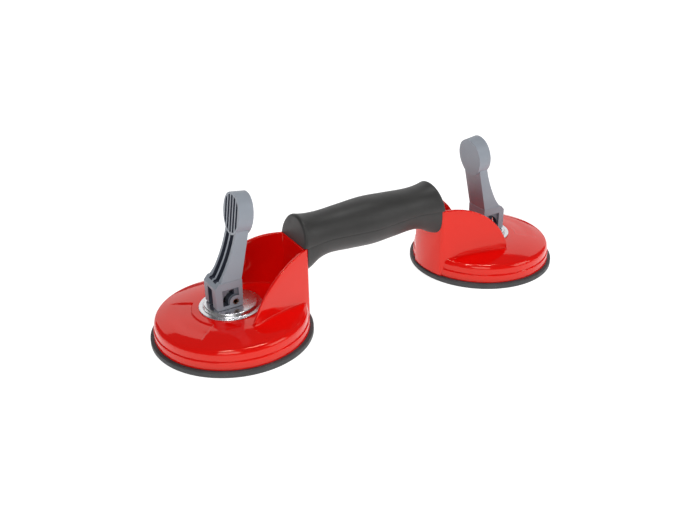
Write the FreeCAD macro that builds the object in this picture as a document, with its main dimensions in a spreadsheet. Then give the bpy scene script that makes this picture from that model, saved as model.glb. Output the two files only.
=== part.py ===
import FreeCAD, Part
import math
import os
import re
import Sketcher

# Twin-head vacuum lifter. Two round heads hang from the ends of one handle. In each head a lever folds
# outward over the head, and the cam on its foot raises a stud that pulls up the middle of a rubber pad.
# Origin: midway between the heads, on the plane under the pads. +X runs from the left head to the right
# head, +Z is up. Every head part is drawn about its own head's axis with +X towards the handle, and the
# right head is the left one turned half a turn.

Vec = FreeCAD.Vector
SIDES = ("left", "right")

DIMENSIONS = [
    # the whole
    ("headPitch", 234.7, "distance between the axes of the two heads"),
    ("fit", 0.05, "radial running clearance of a shaft in its hole"),
    ("gap", 0.3, "clearance between parts that move past each other"),
    # rubber pad
    ("padRadius", 60.0, "outer radius of the rubber pad"),
    ("padEdge", 4.6, "height of the pad's edge, where the housing's rim sits"),
    ("padBevel", 0.8, "bevel round the pad's edge"),
    ("sealRadius", 46.0, "inner radius of the flat sealing ring under the pad"),
    ("domeRadius", 20.0, "radius of the level middle of the hollow under the pad"),
    ("domeRise", 2.0, "height of the hollow under the pad"),
    ("pocketRadius", 9.5, "radius of the pocket for the stud's head in the pad"),
    # plate and stud
    ("plateRadius", 36.0, "radius of the steel plate bonded on the pad"),
    ("plateThick", 1.5, "thickness of that plate"),
    ("studRadius", 4.0, "radius of the pull stud"),
    ("studFlat", 2.8, "half the thickness across the stud's two flats"),
    ("flatStart", 14.0, "height at which the flats begin"),
    ("studHead", 9.0, "radius of the stud's head under the plate"),
    ("headThick", 1.0, "thickness of that head"),
    ("pinHeight", 31.5, "height of the lever's pivot pin at rest"),
    ("pinRadius", 2.5, "outer radius of the hollow pivot pin"),
    ("pinHole", 1.5, "radius of the hole through the pin"),
    # head housing
    ("rimRadius", 57.8, "outer radius of the housing's rim"),
    ("rimTop", 10.6, "height of the small step round the rim"),
    ("rimDraft", 0.3, "draft of the rim's side"),
    ("stepHeight", 0.8, "height of the small step"),
    ("stepRadius", 56.6, "radius just above the step"),
    ("shoulderRadius", 9.0, "rounding of the shoulder"),
    ("crownRadius", 50.5, "radius where the shoulder meets the sloping crown"),
    ("crownEdge", 19.6, "height of the crown there"),
    ("flatRadius", 34.0, "radius where the crown begins to slope"),
    ("flatHeight", 23.2, "height of the crown there"),
    ("topHeight", 23.5, "height of the housing's top around the washer"),
    ("wall", 2.5, "thickness of the housing's wall"),
    ("boreRadius", 6.5, "radius of the bore for the guide bush"),
    ("bossRadius", 9.5, "radius of the boss under that bore"),
    ("bossBottom", 18.4, "height of the boss's lower end"),
    # shroud on the housing
    ("shroudTop", 62.5, "height of the shroud where the handle sits"),
    ("cornerAlong", 56.2, "shroud's corner, distance from the head's axis towards the handle"),
    ("cornerAcross", 18.1, "shroud's corner, distance to the side"),
    ("tipAlong", 2.2, "tip of a shroud wing, towards the handle"),
    ("tipAcross", 36.4, "tip of a shroud wing, to the side"),
    ("wingThick", 2.6, "thickness of a wing"),
    ("backRadius", 58.8, "outer radius of the shroud's back wall"),
    ("backInner", 53.2, "distance of the back wall's flat inner face"),
    ("sweepRadius", 69.5, "radius of the wings' swept top edge"),
    ("sweepAlong", 63.3, "centre of that radius, towards the handle"),
    ("sweepHeight", -7.2, "centre of that radius, height"),
    ("cornerRound", 3.0, "rounding of the shroud's upright corners"),
    ("wingTip", 24.2, "height at which a wing's top edge starts at its tip"),
    ("panelInner", 29.0, "inner radius of the sunk panel on the crown"),
    ("panelOuter", 49.5, "outer radius of the sunk panel"),
    ("panelDepth", 0.8, "depth of the sunk panel"),
    ("panelAngle", 78.0, "angle that the sunk panel covers"),
    # tongue that carries the handle
    ("tongueEnd", 86.0, "far end of the tongue from the head's axis"),
    ("tongueHalf", 12.0, "half the tongue's width"),
    ("tongueBottom", 56.0, "height of the tongue's lower face"),
    ("tongueTop", 61.0, "height of the tongue's upper face"),
    ("screwNear", 68.0, "first core screw from the head's axis"),
    ("screwFar", 80.0, "second core screw from the head's axis"),
    # guide bush and cover washer
    ("bushFlange", 9.2, "radius of the guide bush's flange"),
    ("flangeThick", 1.0, "thickness of that flange"),
    ("washerRadius", 23.5, "outer radius of the cover washer"),
    ("washerThick", 1.0, "thickness of the cover washer's sheet"),
    ("plateauRadius", 19.8, "radius of the washer's raised middle"),
    ("plateauTop", 27.0, "height of the washer's raised middle"),
    ("plateauRound", 0.9, "rounding of the raised middle's edge"),
    ("plateauDraft", 0.6, "draft of the raised middle's side"),
    ("washerHole", 4.5, "radius of the washer's hole"),
    # return spring
    ("wireRadius", 0.7, "radius of the return spring's wire"),
    ("springBottom", 14.0, "radius of the spring's lowest turn"),
    ("springTop", 11.6, "radius of the spring's highest turn"),
    ("springTurns", 4.5, "turns in the spring"),
    ("springSeat", 0.06, "clearance at the two ends of the spring"),
    # lever
    ("leverHalf", 10.3, "half the width of the lever's foot"),
    ("leverFront", 15.2, "distance of the foot's outer face from the pin"),
    ("leverBack", 5.4, "distance of the foot's inner face from the pin"),
    ("cupLift", 8.0, "lift of the stud per radian of the lever's turn"),
    ("camRound", 8.75, "radius of the cam's corner"),
    ("camRise", 1.2, "height above the pin at which the cam's corner ends"),
    ("footTop", 48.6, "height of the foot's top"),
    ("footLean", 0.6, "lean of the foot's inner face"),
    ("footBevelAlong", 3.0, "bevel at the foot's outer top edge, along"),
    ("footBevelDown", 2.6, "bevel at the foot's outer top edge, down"),
    ("neckStart", 4.2, "step from the foot's outer face to the neck"),
    ("neckFrontTop", 3.2, "neck's outer face at its top, distance from the pin"),
    ("neckBackTop", 12.9, "neck's inner face at its top, distance from the pin"),
    ("neckTop", 81.0, "height of the neck's top"),
    ("neckHalf", 8.5, "half the width of the neck"),
    ("neckCurve", 110.0, "radius of the neck's hollow outer face"),
    ("thumbThick", 10.8, "thickness of the thumb pad"),
    ("thumbHeight", 95.2, "height of the thumb pad's centre"),
    ("thumbAlong", 6.2, "thumb pad's outer face, distance from the pin"),
    ("thumbTilt", 8.0, "lean of the thumb pad towards the handle, in degrees"),
    ("thumbHalf", 10.6, "half the thumb pad's width where its upper arc starts"),
    ("thumbUpper", 9.3, "height of that place above the pad's centre"),
    ("thumbTopRadius", 11.7, "radius of the thumb pad's upper end"),
    ("thumbSideRadius", 19.2, "radius of the thumb pad's sides"),
    ("thumbLowHalf", 7.5, "half the thumb pad's width where its lower arc starts"),
    ("thumbLower", 11.8, "depth of that place below the pad's centre"),
    ("thumbLowRadius", 10.2, "radius of the thumb pad's lower end"),
    ("slotHalf", 3.2, "half the width of the slot for the stud"),
    ("slotTop", 45.5, "height of the slot's upper end"),
    ("slotBack", 4.5, "inner end of that slot, distance from the pin"),
    ("channelDepth", 4.0, "depth of the channels down the neck"),
    ("channelBottom", 51.0, "height of the channels' lower end"),
    ("channelTop", 79.0, "height of the channels' upper end"),
    ("channelFace", 2.9, "neck's outer face at the channels' upper end"),
    ("channelNear", 1.1, "edge of a channel near the lever's middle"),
    ("channelFar", 5.9, "edge of a channel near the lever's side"),
    ("bossRound", 5.2, "radius of the boss around the pin on the lever's side"),
    ("sideDepth", 1.6, "depth of the pocket in the lever's side"),
    ("sideFront", 12.8, "outer edge of that pocket, distance from the pin"),
    ("sideBack", 3.4, "inner edge of that pocket, distance from the pin"),
    ("sideTop", 44.0, "height of that pocket's upper edge"),
    ("sideDrop", 1.75, "depth of that pocket's lower edge below the pin"),
    ("windowInner", 5.9, "inner radius of the window beside the pin"),
    ("windowOuter", 9.6, "outer radius of that window"),
    ("windowEdge", 0.5, "distance by which the window clears the pin's two centre lines"),
    # handle
    ("gripEnd", 64.0, "half the length of the grip's upper shell"),
    ("endWall", 6.0, "thickness of the upper shell's end at the seam"),
    ("endLean", 3.4, "lean of the upper shell's end towards the middle, at its top"),
    ("endTop", 84.0, "height at which that lean is measured"),
    ("gripWall", 3.0, "wall of the grip's shells"),
    ("gripRound", 1.6, "rounding of the upper shell's end edges"),
    ("coreHalf", 57.0, "half the length of the steel core"),
    ("coreWidth", 20.0, "width of the steel core"),
    ("coreThick", 5.0, "thickness of the steel core"),
    ("coreShank", 2.5, "radius of a core screw's shank"),
    ("coreHole", 2.75, "radius of a core screw's hole"),
    ("coreHead", 4.25, "radius of a core screw's head"),
    ("nutFlats", 8.0, "width of a nut across its flats"),
    ("nutThick", 4.0, "thickness of a nut"),
    ("postRadius", 4.6, "radius of the posts inside the grip"),
    ("postClear", 5.3, "radius of the holes in the core around the posts"),
    ("postSplit", 60.0, "height at which the two posts of a pair meet"),
    ("postGap", 0.1, "gap between the two posts of a pair"),
    ("postRise", 20.0, "length of an upper post, up into the shell's roof"),
    ("postDrop", 13.4, "length of a lower post, down into the shell's floor"),
    ("pilotDepth", 13.5, "depth of a grip screw's hole in an upper post"),
    ("postPitch", 24.0, "distance between grip screws"),
    ("gripScrew", 1.6, "radius of a grip screw's shank"),
    ("gripHead", 3.2, "radius of a grip screw's head"),
    ("headSeat", 54.0, "height of the seat for a grip screw's head"),
    ("headHeight", 2.0, "height of a grip screw's head"),
    ("recessDepth", 1.0, "depth of the recess in that head"),
    ("gripShank", 17.0, "length of a grip screw's shank"),
]

# Grip sections from the middle outwards: distance from the middle, half width, height of the seam,
# rise above the seam, drop below the seam, and the length of the straight side below the seam.
UPPER_SECTIONS = [(0.0, 19.6, 62.6), (20.0, 18.2, 62.9), (40.0, 16.7, 63.2), (64.0, 19.4, 62.5)]
LOWER_SECTIONS = [(0.0, 19.6, 62.6, 17.8, 1.0), (20.0, 18.2, 62.9, 17.2, 1.0),
                  (40.0, 16.7, 63.2, 16.4, 1.0), (52.0, 17.6, 62.8, 18.2, 5.0),
                  (64.0, 18.5, 62.5, 22.4, 10.0)]

doc = FreeCAD.newDocument("vacuum_lifter")
sheet = doc.addObject("Spreadsheet::Sheet", "dims")
for row, (alias, value, note) in enumerate(DIMENSIONS, start=1):
    sheet.set(f"A{row}", note)
    sheet.set(f"B{row}", str(value))
    sheet.setAlias(f"B{row}", alias)
doc.recompute()
ALIASES = {alias for alias, _, _ in DIMENSIONS}
parts = []


def full(expression):
    """The expression with each alias written as a reference to the sheet."""
    return re.sub(r"[A-Za-z]\w*", lambda m: "dims." + m[0] if m[0] in ALIASES else m[0], str(expression))


def num(expression):
    """The expression's value now."""
    value = sheet.evalExpression(full(expression))
    return float(getattr(value, "Value", value))


def bind(thing, prop, expression):
    thing.setExpression(prop, full(expression))


def new_body(label):
    body = doc.addObject("PartDesign::Body", label)
    body.Label = label
    parts.append(body)
    return body


def head_body(side, name):
    """A body on one head: the right head is turned half a turn about the upright axis."""
    body = new_body(f"{side}_{name}")
    if side == "left":
        body.Placement = FreeCAD.Placement(Vec(-num("headPitch / 2"), 0, 0), FreeCAD.Rotation())
        bind(body, "Placement.Base.x", "-headPitch / 2")
    else:
        turned = FreeCAD.Rotation(Vec(0, 0, 1), 180)
        body.Placement = FreeCAD.Placement(Vec(num("headPitch / 2"), 0, 0), turned)
        bind(body, "Placement.Base.x", "headPitch / 2")
    return body


def new_sketch(body, plane, height="0"):
    """A sketch on one of the body's planes: XZ_Plane faces -Y, YZ_Plane faces +X, XY_Plane faces +Z."""
    sketch = body.newObject("Sketcher::SketchObject", "outline")
    base = [f for f in body.Origin.OriginFeatures if f.Role == plane][0]
    sketch.AttachmentSupport = [(base, "")]
    sketch.MapMode = "FlatFace"
    bind(sketch, "AttachmentOffset.Base.z", height)
    return sketch


def fix_point(sketch, index, end, corner):
    for kind, expression in zip(("DistanceX", "DistanceY"), corner):
        constraint = sketch.addConstraint(Sketcher.Constraint(kind, -1, 1, index, end, num(expression)))
        bind(sketch, f"Constraints[{constraint}]", expression)


def arc_between(start, finish, radius):
    """An arc that bulges to the right of start-finish for a positive radius, to the left otherwise."""
    chord = finish - start
    right = Vec(chord.y, -chord.x, 0).normalize()
    sagitta = abs(radius) - math.sqrt(radius ** 2 - chord.Length ** 2 / 4)
    middle = (start + finish) / 2 + right * math.copysign(sagitta, radius)
    return Part.Arc(start, middle, finish)


def outline(body, plane, corners, height="0"):
    """A closed outline. A corner is (x, y), or (x, y, radius) where an arc runs to the next corner."""
    sketch = new_sketch(body, plane, height)
    places = [Vec(num(corner[0]), num(corner[1]), 0) for corner in corners]
    ends = []
    for index, corner in enumerate(corners):
        start, finish = places[index], places[(index + 1) % len(corners)]
        if len(corner) == 2:
            sketch.addGeometry(Part.LineSegment(start, finish), False)
            ends.append((1, 2))
            continue
        radius = num(corner[2])
        sketch.addGeometry(arc_between(start, finish, radius), False)
        ends.append((1, 2) if radius > 0 else (2, 1))
        constraint = sketch.addConstraint(Sketcher.Constraint("Radius", index, abs(radius)))
        bind(sketch, f"Constraints[{constraint}]", f"abs({corner[2]})")
    for index, corner in enumerate(corners):
        following = (index + 1) % len(corners)
        sketch.addConstraint(
            Sketcher.Constraint("Coincident", index, ends[index][1], following, ends[following][0]))
        fix_point(sketch, index, ends[index][0], corner[:2])
    return sketch


def circles(body, plane, places, radius, height="0"):
    """Equal circles at the given places, each an (x, y) pair."""
    sketch = new_sketch(body, plane, height)
    for index, place in enumerate(places):
        centre = Vec(num(place[0]), num(place[1]), 0)
        sketch.addGeometry(Part.Circle(centre, Vec(0, 0, 1), num(radius)), False)
        fix_point(sketch, index, 3, place)
        constraint = sketch.addConstraint(Sketcher.Constraint("Radius", index, num(radius)))
        bind(sketch, f"Constraints[{constraint}]", radius)
    return sketch


def volume(body):
    return body.Shape.Volume if body.Tip and not body.Shape.isNull() else 0.0


def feature(body, kind, sketch, grows, **settings):
    """A feature made from the sketch, with a test that it adds or takes away material as it should."""
    doc.recompute()
    before = volume(body)
    made = body.newObject(f"PartDesign::{kind}", kind)
    made.Profile = sketch
    for prop, value in settings.items():
        if prop in ("Length", "Angle"):
            bind(made, prop, value)
        else:
            setattr(made, prop, value)
    doc.recompute()
    change = volume(body) - before
    if change * (1 if grows else -1) <= 0:
        raise RuntimeError(f"{kind} on {body.Label} changed the volume by {change:.3f}")
    return made


def pad(body, sketch, length, **settings):
    return feature(body, "Pad", sketch, True, Length=length, **settings)


def pocket(body, sketch, length, **settings):
    return feature(body, "Pocket", sketch, False, Length=length, **settings)


def revolve(body, sketch, **settings):
    axis = (sketch, ["V_Axis"])
    return feature(body, "Revolution", sketch, True, ReferenceAxis=axis, **settings)


def groove(body, sketch, **settings):
    return feature(body, "Groove", sketch, False, ReferenceAxis=(sketch, ["V_Axis"]), **settings)


def drill(body, plane, places, radius):
    """Holes right through the body, both ways from the plane."""
    return pocket(body, circles(body, plane, places, radius), "2 * headPitch", SideType="Symmetric")


def fillet(body, radius, wanted):
    """Round the edges of the body that the test picks by their middle point and direction."""
    doc.recompute()
    base = body.Tip
    names = []
    for number, edge in enumerate(base.Shape.Edges, start=1):
        first, last = edge.ParameterRange
        if wanted(edge.valueAt((first + last) / 2), edge.tangentAt((first + last) / 2)):
            names.append(f"Edge{number}")
    made = body.newObject("PartDesign::Fillet", "Fillet")
    made.Base = (base, names)
    bind(made, "Radius", radius)
    doc.recompute()
    return made


# ---------------------------------------------------------------- parts of one head


def suction_pad(side):
    """Rubber disc: flat sealing ring, shallow hollow, and a pocket on top for the stud's head."""
    body = head_body(side, "suction_pad")
    revolve(body, outline(body, "XZ_Plane", [
        ("0", "domeRise"), ("domeRadius", "domeRise"), ("sealRadius", "0"),
        ("padRadius - padBevel", "0"), ("padRadius", "padBevel"), ("padRadius", "padEdge - padBevel"),
        ("padRadius - padBevel", "padEdge"), ("pocketRadius", "padEdge"),
        ("pocketRadius", "padEdge - headThick"), ("0", "padEdge - headThick")]))


def pad_plate(side):
    """Steel plate bonded on the middle of the pad."""
    body = head_body(side, "pad_plate")
    revolve(body, outline(body, "XZ_Plane", [
        ("studRadius", "padEdge"), ("plateRadius", "padEdge"), ("plateRadius", "padEdge + plateThick"),
        ("studRadius", "padEdge + plateThick")]))


def pull_stud(side):
    """Headed stud with two flats and a rounded eye for the lever's pin."""
    body = head_body(side, "pull_stud")
    revolve(body, outline(body, "XZ_Plane", [
        ("0", "padEdge - headThick"), ("studHead", "padEdge - headThick"), ("studHead", "padEdge"),
        ("studRadius", "padEdge"), ("studRadius", "pinHeight + studRadius"),
        ("0", "pinHeight + studRadius")]))
    for level in ("-studFlat", "studFlat"):
        away = level.startswith("-")
        pocket(body, outline(body, "XZ_Plane", [
            ("-2 * studRadius", "flatStart"), ("2 * studRadius", "flatStart"),
            ("2 * studRadius", "pinHeight + 2 * studRadius"),
            ("-2 * studRadius", "pinHeight + 2 * studRadius")], level),
            "studRadius", Reversed=not away)
    pocket(body, outline(body, "XZ_Plane", [
        ("-studRadius", "pinHeight", "-studRadius * 1.0001"), ("studRadius", "pinHeight"),
        ("2 * studRadius", "pinHeight"), ("2 * studRadius", "pinHeight + 2 * studRadius"),
        ("-2 * studRadius", "pinHeight + 2 * studRadius"), ("-2 * studRadius", "pinHeight")]),
        "4 * studRadius", SideType="Symmetric")
    drill(body, "XZ_Plane", [("0", "pinHeight")], "pinRadius + fit")


def return_spring(side):
    """Conical spring that pushes the plate back down when the lever is raised."""
    body = head_body(side, "return_spring")
    bottom = "padEdge + plateThick + wireRadius + springSeat"
    profile = circles(body, "XZ_Plane", [("springBottom", bottom)], "wireRadius")
    made = body.newObject("PartDesign::AdditiveHelix", "Coil")
    made.Profile = profile
    made.ReferenceAxis = (profile, ["V_Axis"])
    made.Mode = "height-turns-angle"
    rise = f"(topHeight - wall - wireRadius - springSeat - ({bottom}))"
    bind(made, "Height", rise)
    bind(made, "Turns", "springTurns")
    bind(made, "Angle", f"-atan((springBottom - springTop) / {rise})")
    doc.recompute()


def fall(share):
    """Height of the crown's slope, at that share of the way from its lower edge to its flat top."""
    return f"crownEdge + {share} * (flatHeight - crownEdge)"


def housing(side):
    """Painted casting: domed cover, shroud with two wings, and the tongue that carries the handle."""
    body = head_body(side, "housing")
    revolve(body, outline(body, "XZ_Plane", [
        ("0", "padEdge"), ("rimRadius", "padEdge"), ("rimRadius - rimDraft", "rimTop"),
        ("stepRadius", "rimTop + stepHeight", "shoulderRadius"), ("crownRadius", "crownEdge"),
        ("flatRadius", "flatHeight"), ("washerRadius + gap", "topHeight"), ("0", "topHeight")]))
    slope = "(cornerAlong - tipAlong)"
    drop = "(tipAcross - cornerAcross)"
    run = f"sqrt({slope} * {slope} + {drop} * {drop})"
    inner_tip = (f"tipAlong - wingThick * {drop} / {run}", f"tipAcross - wingThick * {slope} / {run}")
    inner_corner = f"(tipAcross - wingThick * {run} / {slope} - (backInner - tipAlong) * {drop} / {slope})"
    pad(body, outline(body, "XY_Plane", [
        ("tipAlong", "-tipAcross"), ("cornerAlong", "-cornerAcross", "backRadius"),
        ("cornerAlong", "cornerAcross"), ("tipAlong", "tipAcross"), inner_tip,
        ("backInner", inner_corner), ("backInner", f"-{inner_corner}"),
        (inner_tip[0], f"-({inner_tip[1]})")], "padEdge"), "shroudTop - padEdge")
    start_along = "sweepAlong - sqrt(sweepRadius^2 - (wingTip - sweepHeight)^2)"
    pocket(body, outline(body, "XZ_Plane", [
        (start_along, "wingTip", "-sweepRadius"), ("sweepAlong", "sweepHeight + sweepRadius"),
        ("sweepAlong", "2 * shroudTop"), ("-sweepAlong", "2 * shroudTop"),
        ("-sweepAlong", "wingTip")]), "4 * tipAcross", SideType="Symmetric")
    fillet(body, "cornerRound", lambda p, t: abs(t.z) > 0.99 and p.z > num("wingTip")
           and abs(p.x - num("cornerAlong")) < num("gap"))
    groove(body, outline(body, "XZ_Plane", [
        ("0", "0"), ("rimRadius - wall", "0"), ("stepRadius - wall", "rimTop"),
        ("crownRadius - wall / 2", "crownEdge - wall"), ("flatRadius", "flatHeight - wall"),
        ("bossRadius", "topHeight - wall"), ("bossRadius", "bossBottom"), ("0", "bossBottom")]))
    groove(body, outline(body, "XZ_Plane", [
        ("-panelInner", "2 * topHeight"), ("-panelInner", "flatHeight - 0.75 * panelDepth"),
        ("-flatRadius", "flatHeight - panelDepth"),
        ("-(crownRadius + 2 * flatRadius) / 3", f"({fall(2 / 3)}) - panelDepth"),
        ("-panelOuter", fall(1 / 18)), ("-panelOuter", "2 * topHeight")]),
        Angle="panelAngle", Midplane=True)
    drill(body, "XY_Plane", [("0", "0")], "boreRadius")
    pad(body, outline(body, "XY_Plane", [
        ("cornerAlong", "-tongueHalf"), ("tongueEnd", "-tongueHalf"), ("tongueEnd", "tongueHalf"),
        ("cornerAlong", "tongueHalf")], "tongueBottom"), "tongueTop - tongueBottom")
    pocket(body, circles(body, "XY_Plane", [("screwNear", "0"), ("screwFar", "0")], "coreHole",
                         "tongueTop"), "tongueTop - tongueBottom")


def guide_bush(side):
    """Flanged plastic bush that guides the stud through the housing."""
    body = head_body(side, "guide_bush")
    revolve(body, outline(body, "XZ_Plane", [
        ("studRadius + fit", "bossBottom"), ("boreRadius", "bossBottom"), ("boreRadius", "topHeight"),
        ("bushFlange", "topHeight"), ("bushFlange", "topHeight + flangeThick"),
        ("studRadius + fit", "topHeight + flangeThick")]))


def cover_washer(side):
    """Pressed and plated washer with a raised middle, on which the lever's cam turns."""
    body = head_body(side, "cover_washer")
    revolve(body, outline(body, "XZ_Plane", [
        ("washerHole", "plateauTop - washerThick"),
        ("plateauRadius - 2 * plateauRound", "plateauTop - washerThick"),
        ("plateauRadius + plateauDraft - washerThick", "topHeight"), ("washerRadius", "topHeight"),
        ("washerRadius", "topHeight + 0.5 * washerThick"),
        ("washerRadius - 0.5 * washerThick", "topHeight + washerThick"),
        ("plateauRadius + plateauDraft", "topHeight + washerThick"),
        ("plateauRadius", "plateauTop - plateauRound", "1.05 * plateauRound"),
        ("plateauRadius - plateauRound", "plateauTop"),
        ("washerHole", "plateauTop")]))


def lever(side):
    """Moulded lever: foot with the cam and the stud's slot, hollowed neck, and thumb pad."""
    body = head_body(side, "lever")
    bottom = "(plateauTop + gap)"
    pad(body, outline(body, "XZ_Plane", [
        ("-leverFront", "pinHeight + camRise", "camRound"), ("-cupLift", bottom),
        ("leverBack", bottom), ("leverBack + footLean", "footTop"),
        ("-leverFront + footBevelAlong", "footTop"), ("-leverFront", "footTop - footBevelDown")]),
        "2 * leverHalf", SideType="Symmetric")
    pad(body, outline(body, "XZ_Plane", [
        ("-leverFront + neckStart", "footTop - gap"), ("leverBack", "footTop - gap"),
        ("neckBackTop", "neckTop"), ("neckFrontTop", "neckTop", "-neckCurve")]),
        "2 * neckHalf", SideType="Symmetric")
    thumb = outline(body, "YZ_Plane", [
        ("-thumbHalf", "thumbUpper", "-thumbTopRadius"), ("thumbHalf", "thumbUpper", "-thumbSideRadius"),
        ("thumbLowHalf", "-thumbLower", "-thumbLowRadius"),
        ("-thumbLowHalf", "-thumbLower", "-thumbSideRadius")])
    thumb.AttachmentOffset = FreeCAD.Placement(Vec(0, num("thumbHeight"), num("thumbAlong")),
                                               FreeCAD.Rotation(Vec(1, 0, 0), num("thumbTilt")))
    bind(thumb, "AttachmentOffset.Base.y", "thumbHeight")
    bind(thumb, "AttachmentOffset.Base.z", "thumbAlong")
    pad(body, thumb, "thumbThick")
    pocket(body, outline(body, "XZ_Plane", [
        ("-2 * leverFront", "0"), ("slotBack", "0"), ("slotBack", "slotTop"),
        ("-2 * leverFront", "slotTop")]),
        "2 * slotHalf", SideType="Symmetric")
    drill(body, "XZ_Plane", [("0", "pinHeight")], "pinRadius")
    low = "(pinHeight - sideDrop)"
    for level, turned in (("leverHalf", False), ("-leverHalf", True)):
        pocket(body, outline(body, "XZ_Plane", [
            ("-sideFront", "sideTop"), ("-sideFront", low),
            ("-sqrt(bossRound^2 - sideDrop^2)", low, "-bossRound"),
            ("sideBack", "pinHeight + sqrt(bossRound^2 - sideBack^2)"),
            ("sideBack", "sideTop")], level),
            "sideDepth", Reversed=turned)
    inner = "sqrt(windowInner^2 - windowEdge^2)"
    outer = "sqrt(windowOuter^2 - windowEdge^2)"
    pocket(body, outline(body, "XZ_Plane", [
        ("-windowEdge", f"pinHeight + {inner}"),
        ("-windowEdge", f"pinHeight + {outer}", "windowOuter"),
        (f"-{outer}", "pinHeight - windowEdge"),
        (f"-{inner}", "pinHeight - windowEdge", "-windowInner")]),
        "4 * leverHalf", SideType="Symmetric")
    floor = [("-leverFront + neckStart + channelDepth", "channelBottom"),
             ("-leverFront", "channelBottom"), ("-leverFront", "channelTop"),
             ("channelFace + channelDepth", "channelTop", "-neckCurve")]
    for level, turned in (("channelNear", True), ("-channelNear", False)):
        pocket(body, outline(body, "XZ_Plane", floor, level), "channelFar - channelNear",
               Reversed=turned)


def pivot_pin(side):
    """Hollow steel pin through the lever's foot and the stud's eye."""
    body = head_body(side, "pivot_pin")
    pad(body, circles(body, "XZ_Plane", [("0", "pinHeight")], "pinRadius"),
        "2 * (leverHalf - gap)", SideType="Symmetric")
    drill(body, "XZ_Plane", [("0", "pinHeight")], "pinHole")


# ---------------------------------------------------------------- handle between the heads


def stations(sections):
    """The sections from the left end to the right end."""
    return [(-s[0], *s[1:]) for s in reversed(sections[1:])] + [(s[0], *s[1:]) for s in sections]


def ends(sections):
    return sections[0], sections[-1]


def loft(body, kind, sketches):
    doc.recompute()
    before = volume(body)
    made = body.newObject(f"PartDesign::{kind}", kind)
    made.Profile = sketches[0]
    made.Sections = sketches[1:]
    made.Ruled = False
    doc.recompute()
    change = volume(body) - before
    if change * (1 if kind == "AdditiveLoft" else -1) <= 0:
        raise RuntimeError(f"{kind} on {body.Label} changed the volume by {change:.3f}")


def upper_section(body, along, half, seam, shrink):
    """A half-round section above the seam, made smaller by shrink."""
    radius = f"({half} - ({shrink}))"
    return outline(body, "YZ_Plane", [
        (radius, seam, f"{radius} * 1.0001"), (f"-{radius}", seam)], along)


def lower_section(body, along, half, seam, drop, side, shrink):
    """A trough section below the seam: straight sides, then a round bottom."""
    width = f"({half} - ({shrink}))"
    bottom = f"({drop} - {side} - ({shrink}))"
    radius = f"(({width}^2 + {bottom}^2) / (2 * {bottom}))"
    return outline(body, "YZ_Plane", [
        (f"-{width}", seam), (f"-{width}", f"{seam} - {side}", radius),
        (width, f"{seam} - {side}"), (width, seam)], along)


def post_places():
    return [("-postPitch", "0"), ("0", "0"), ("postPitch", "0")]


def grip_upper_shell():
    """Upper half of the grip, closed at both ends, with three posts for the screws."""
    body = new_body("grip_upper_shell")
    sections = stations(UPPER_SECTIONS)
    loft(body, "AdditiveLoft", [upper_section(body, *s, "0") for s in sections])
    hollow = [(s[0] - math.copysign(num("endWall"), s[0]) if s in ends(sections) else s[0], *s[1:])
              for s in sections]
    loft(body, "SubtractiveLoft", [upper_section(body, *s, "gripWall") for s in hollow])
    for way in ("", "-"):
        pocket(body, outline(body, "XZ_Plane", [
            (f"{way}gripEnd", "shroudTop"), (f"{way}(gripEnd - endLean)", "endTop"),
            (f"{way}(gripEnd + endLean)", "endTop"), (f"{way}(gripEnd + endLean)", "shroudTop")]),
            "4 * gripEnd", SideType="Symmetric")
    pad(body, circles(body, "XY_Plane", post_places(), "postRadius", "postSplit + postGap"), "postRise")
    pocket(body, circles(body, "XY_Plane", post_places(), "gripScrew + fit", "postSplit + pilotDepth"),
           "pilotDepth")
    fillet(body, "gripRound", lambda p, t: abs(p.x) > num("gripEnd - endLean") and p.z > num("endTop - endLean"))


def grip_lower_shell():
    """Lower half of the grip: a trough that flares down against both housings."""
    body = new_body("grip_lower_shell")
    sections = stations(LOWER_SECTIONS)
    loft(body, "AdditiveLoft", [lower_section(body, *s, "0") for s in sections])
    hollow = [(s[0] + math.copysign(num("2 * gripWall"), s[0]) if s in ends(sections) else s[0], *s[1:])
              for s in sections]
    loft(body, "SubtractiveLoft", [lower_section(body, *s, "gripWall") for s in hollow])
    pad(body, circles(body, "XY_Plane", post_places(), "postRadius", "postSplit"), "postDrop",
        Reversed=True)
    pocket(body, circles(body, "XY_Plane", post_places(), "gripScrew + fit", "postSplit"), "postSplit")
    pocket(body, circles(body, "XY_Plane", post_places(), "gripHead + gap", "headSeat"), "headSeat")
    heads = [("-headPitch / 2", "0"), ("headPitch / 2", "0")]
    pocket(body, circles(body, "XY_Plane", heads, "backRadius + gap", "2 * shroudTop"),
           "2 * shroudTop")


def core_bar():
    """Flat steel bar inside the grip, bolted to both housings' tongues."""
    body = new_body("core_bar")
    pad(body, outline(body, "XY_Plane", [
        ("-coreHalf", "-coreWidth / 2"), ("coreHalf", "-coreWidth / 2"), ("coreHalf", "coreWidth / 2"),
        ("-coreHalf", "coreWidth / 2")], "tongueTop"), "coreThick")
    pocket(body, circles(body, "XY_Plane", core_screw_places(), "coreHole",
                         "tongueTop + coreThick"), "coreThick")
    pocket(body, circles(body, "XY_Plane", post_places(), "postClear", "tongueTop + coreThick"),
           "coreThick")


def core_screw_places():
    return [(f"{sign}(headPitch / 2 - {place})", "0") for sign in ("-", "") for place in
            ("screwNear", "screwFar")]


def join(label, solids):
    """Several like pieces that share one node, each still a separate solid."""
    group = doc.addObject("Part::Compound", label)
    group.Label = label
    group.Links = solids
    parts.append(group)


def cylinder(radius, height, place):
    made = doc.addObject("Part::Cylinder", "cylinder")
    bind(made, "Radius", radius)
    bind(made, "Height", height)
    for axis, expression in zip("xyz", place):
        bind(made, f"Placement.Base.{axis}", expression)
    return made


def cut(base, tool):
    made = doc.addObject("Part::Cut", "cut")
    made.Base = base
    made.Tool = tool
    return made


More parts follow.
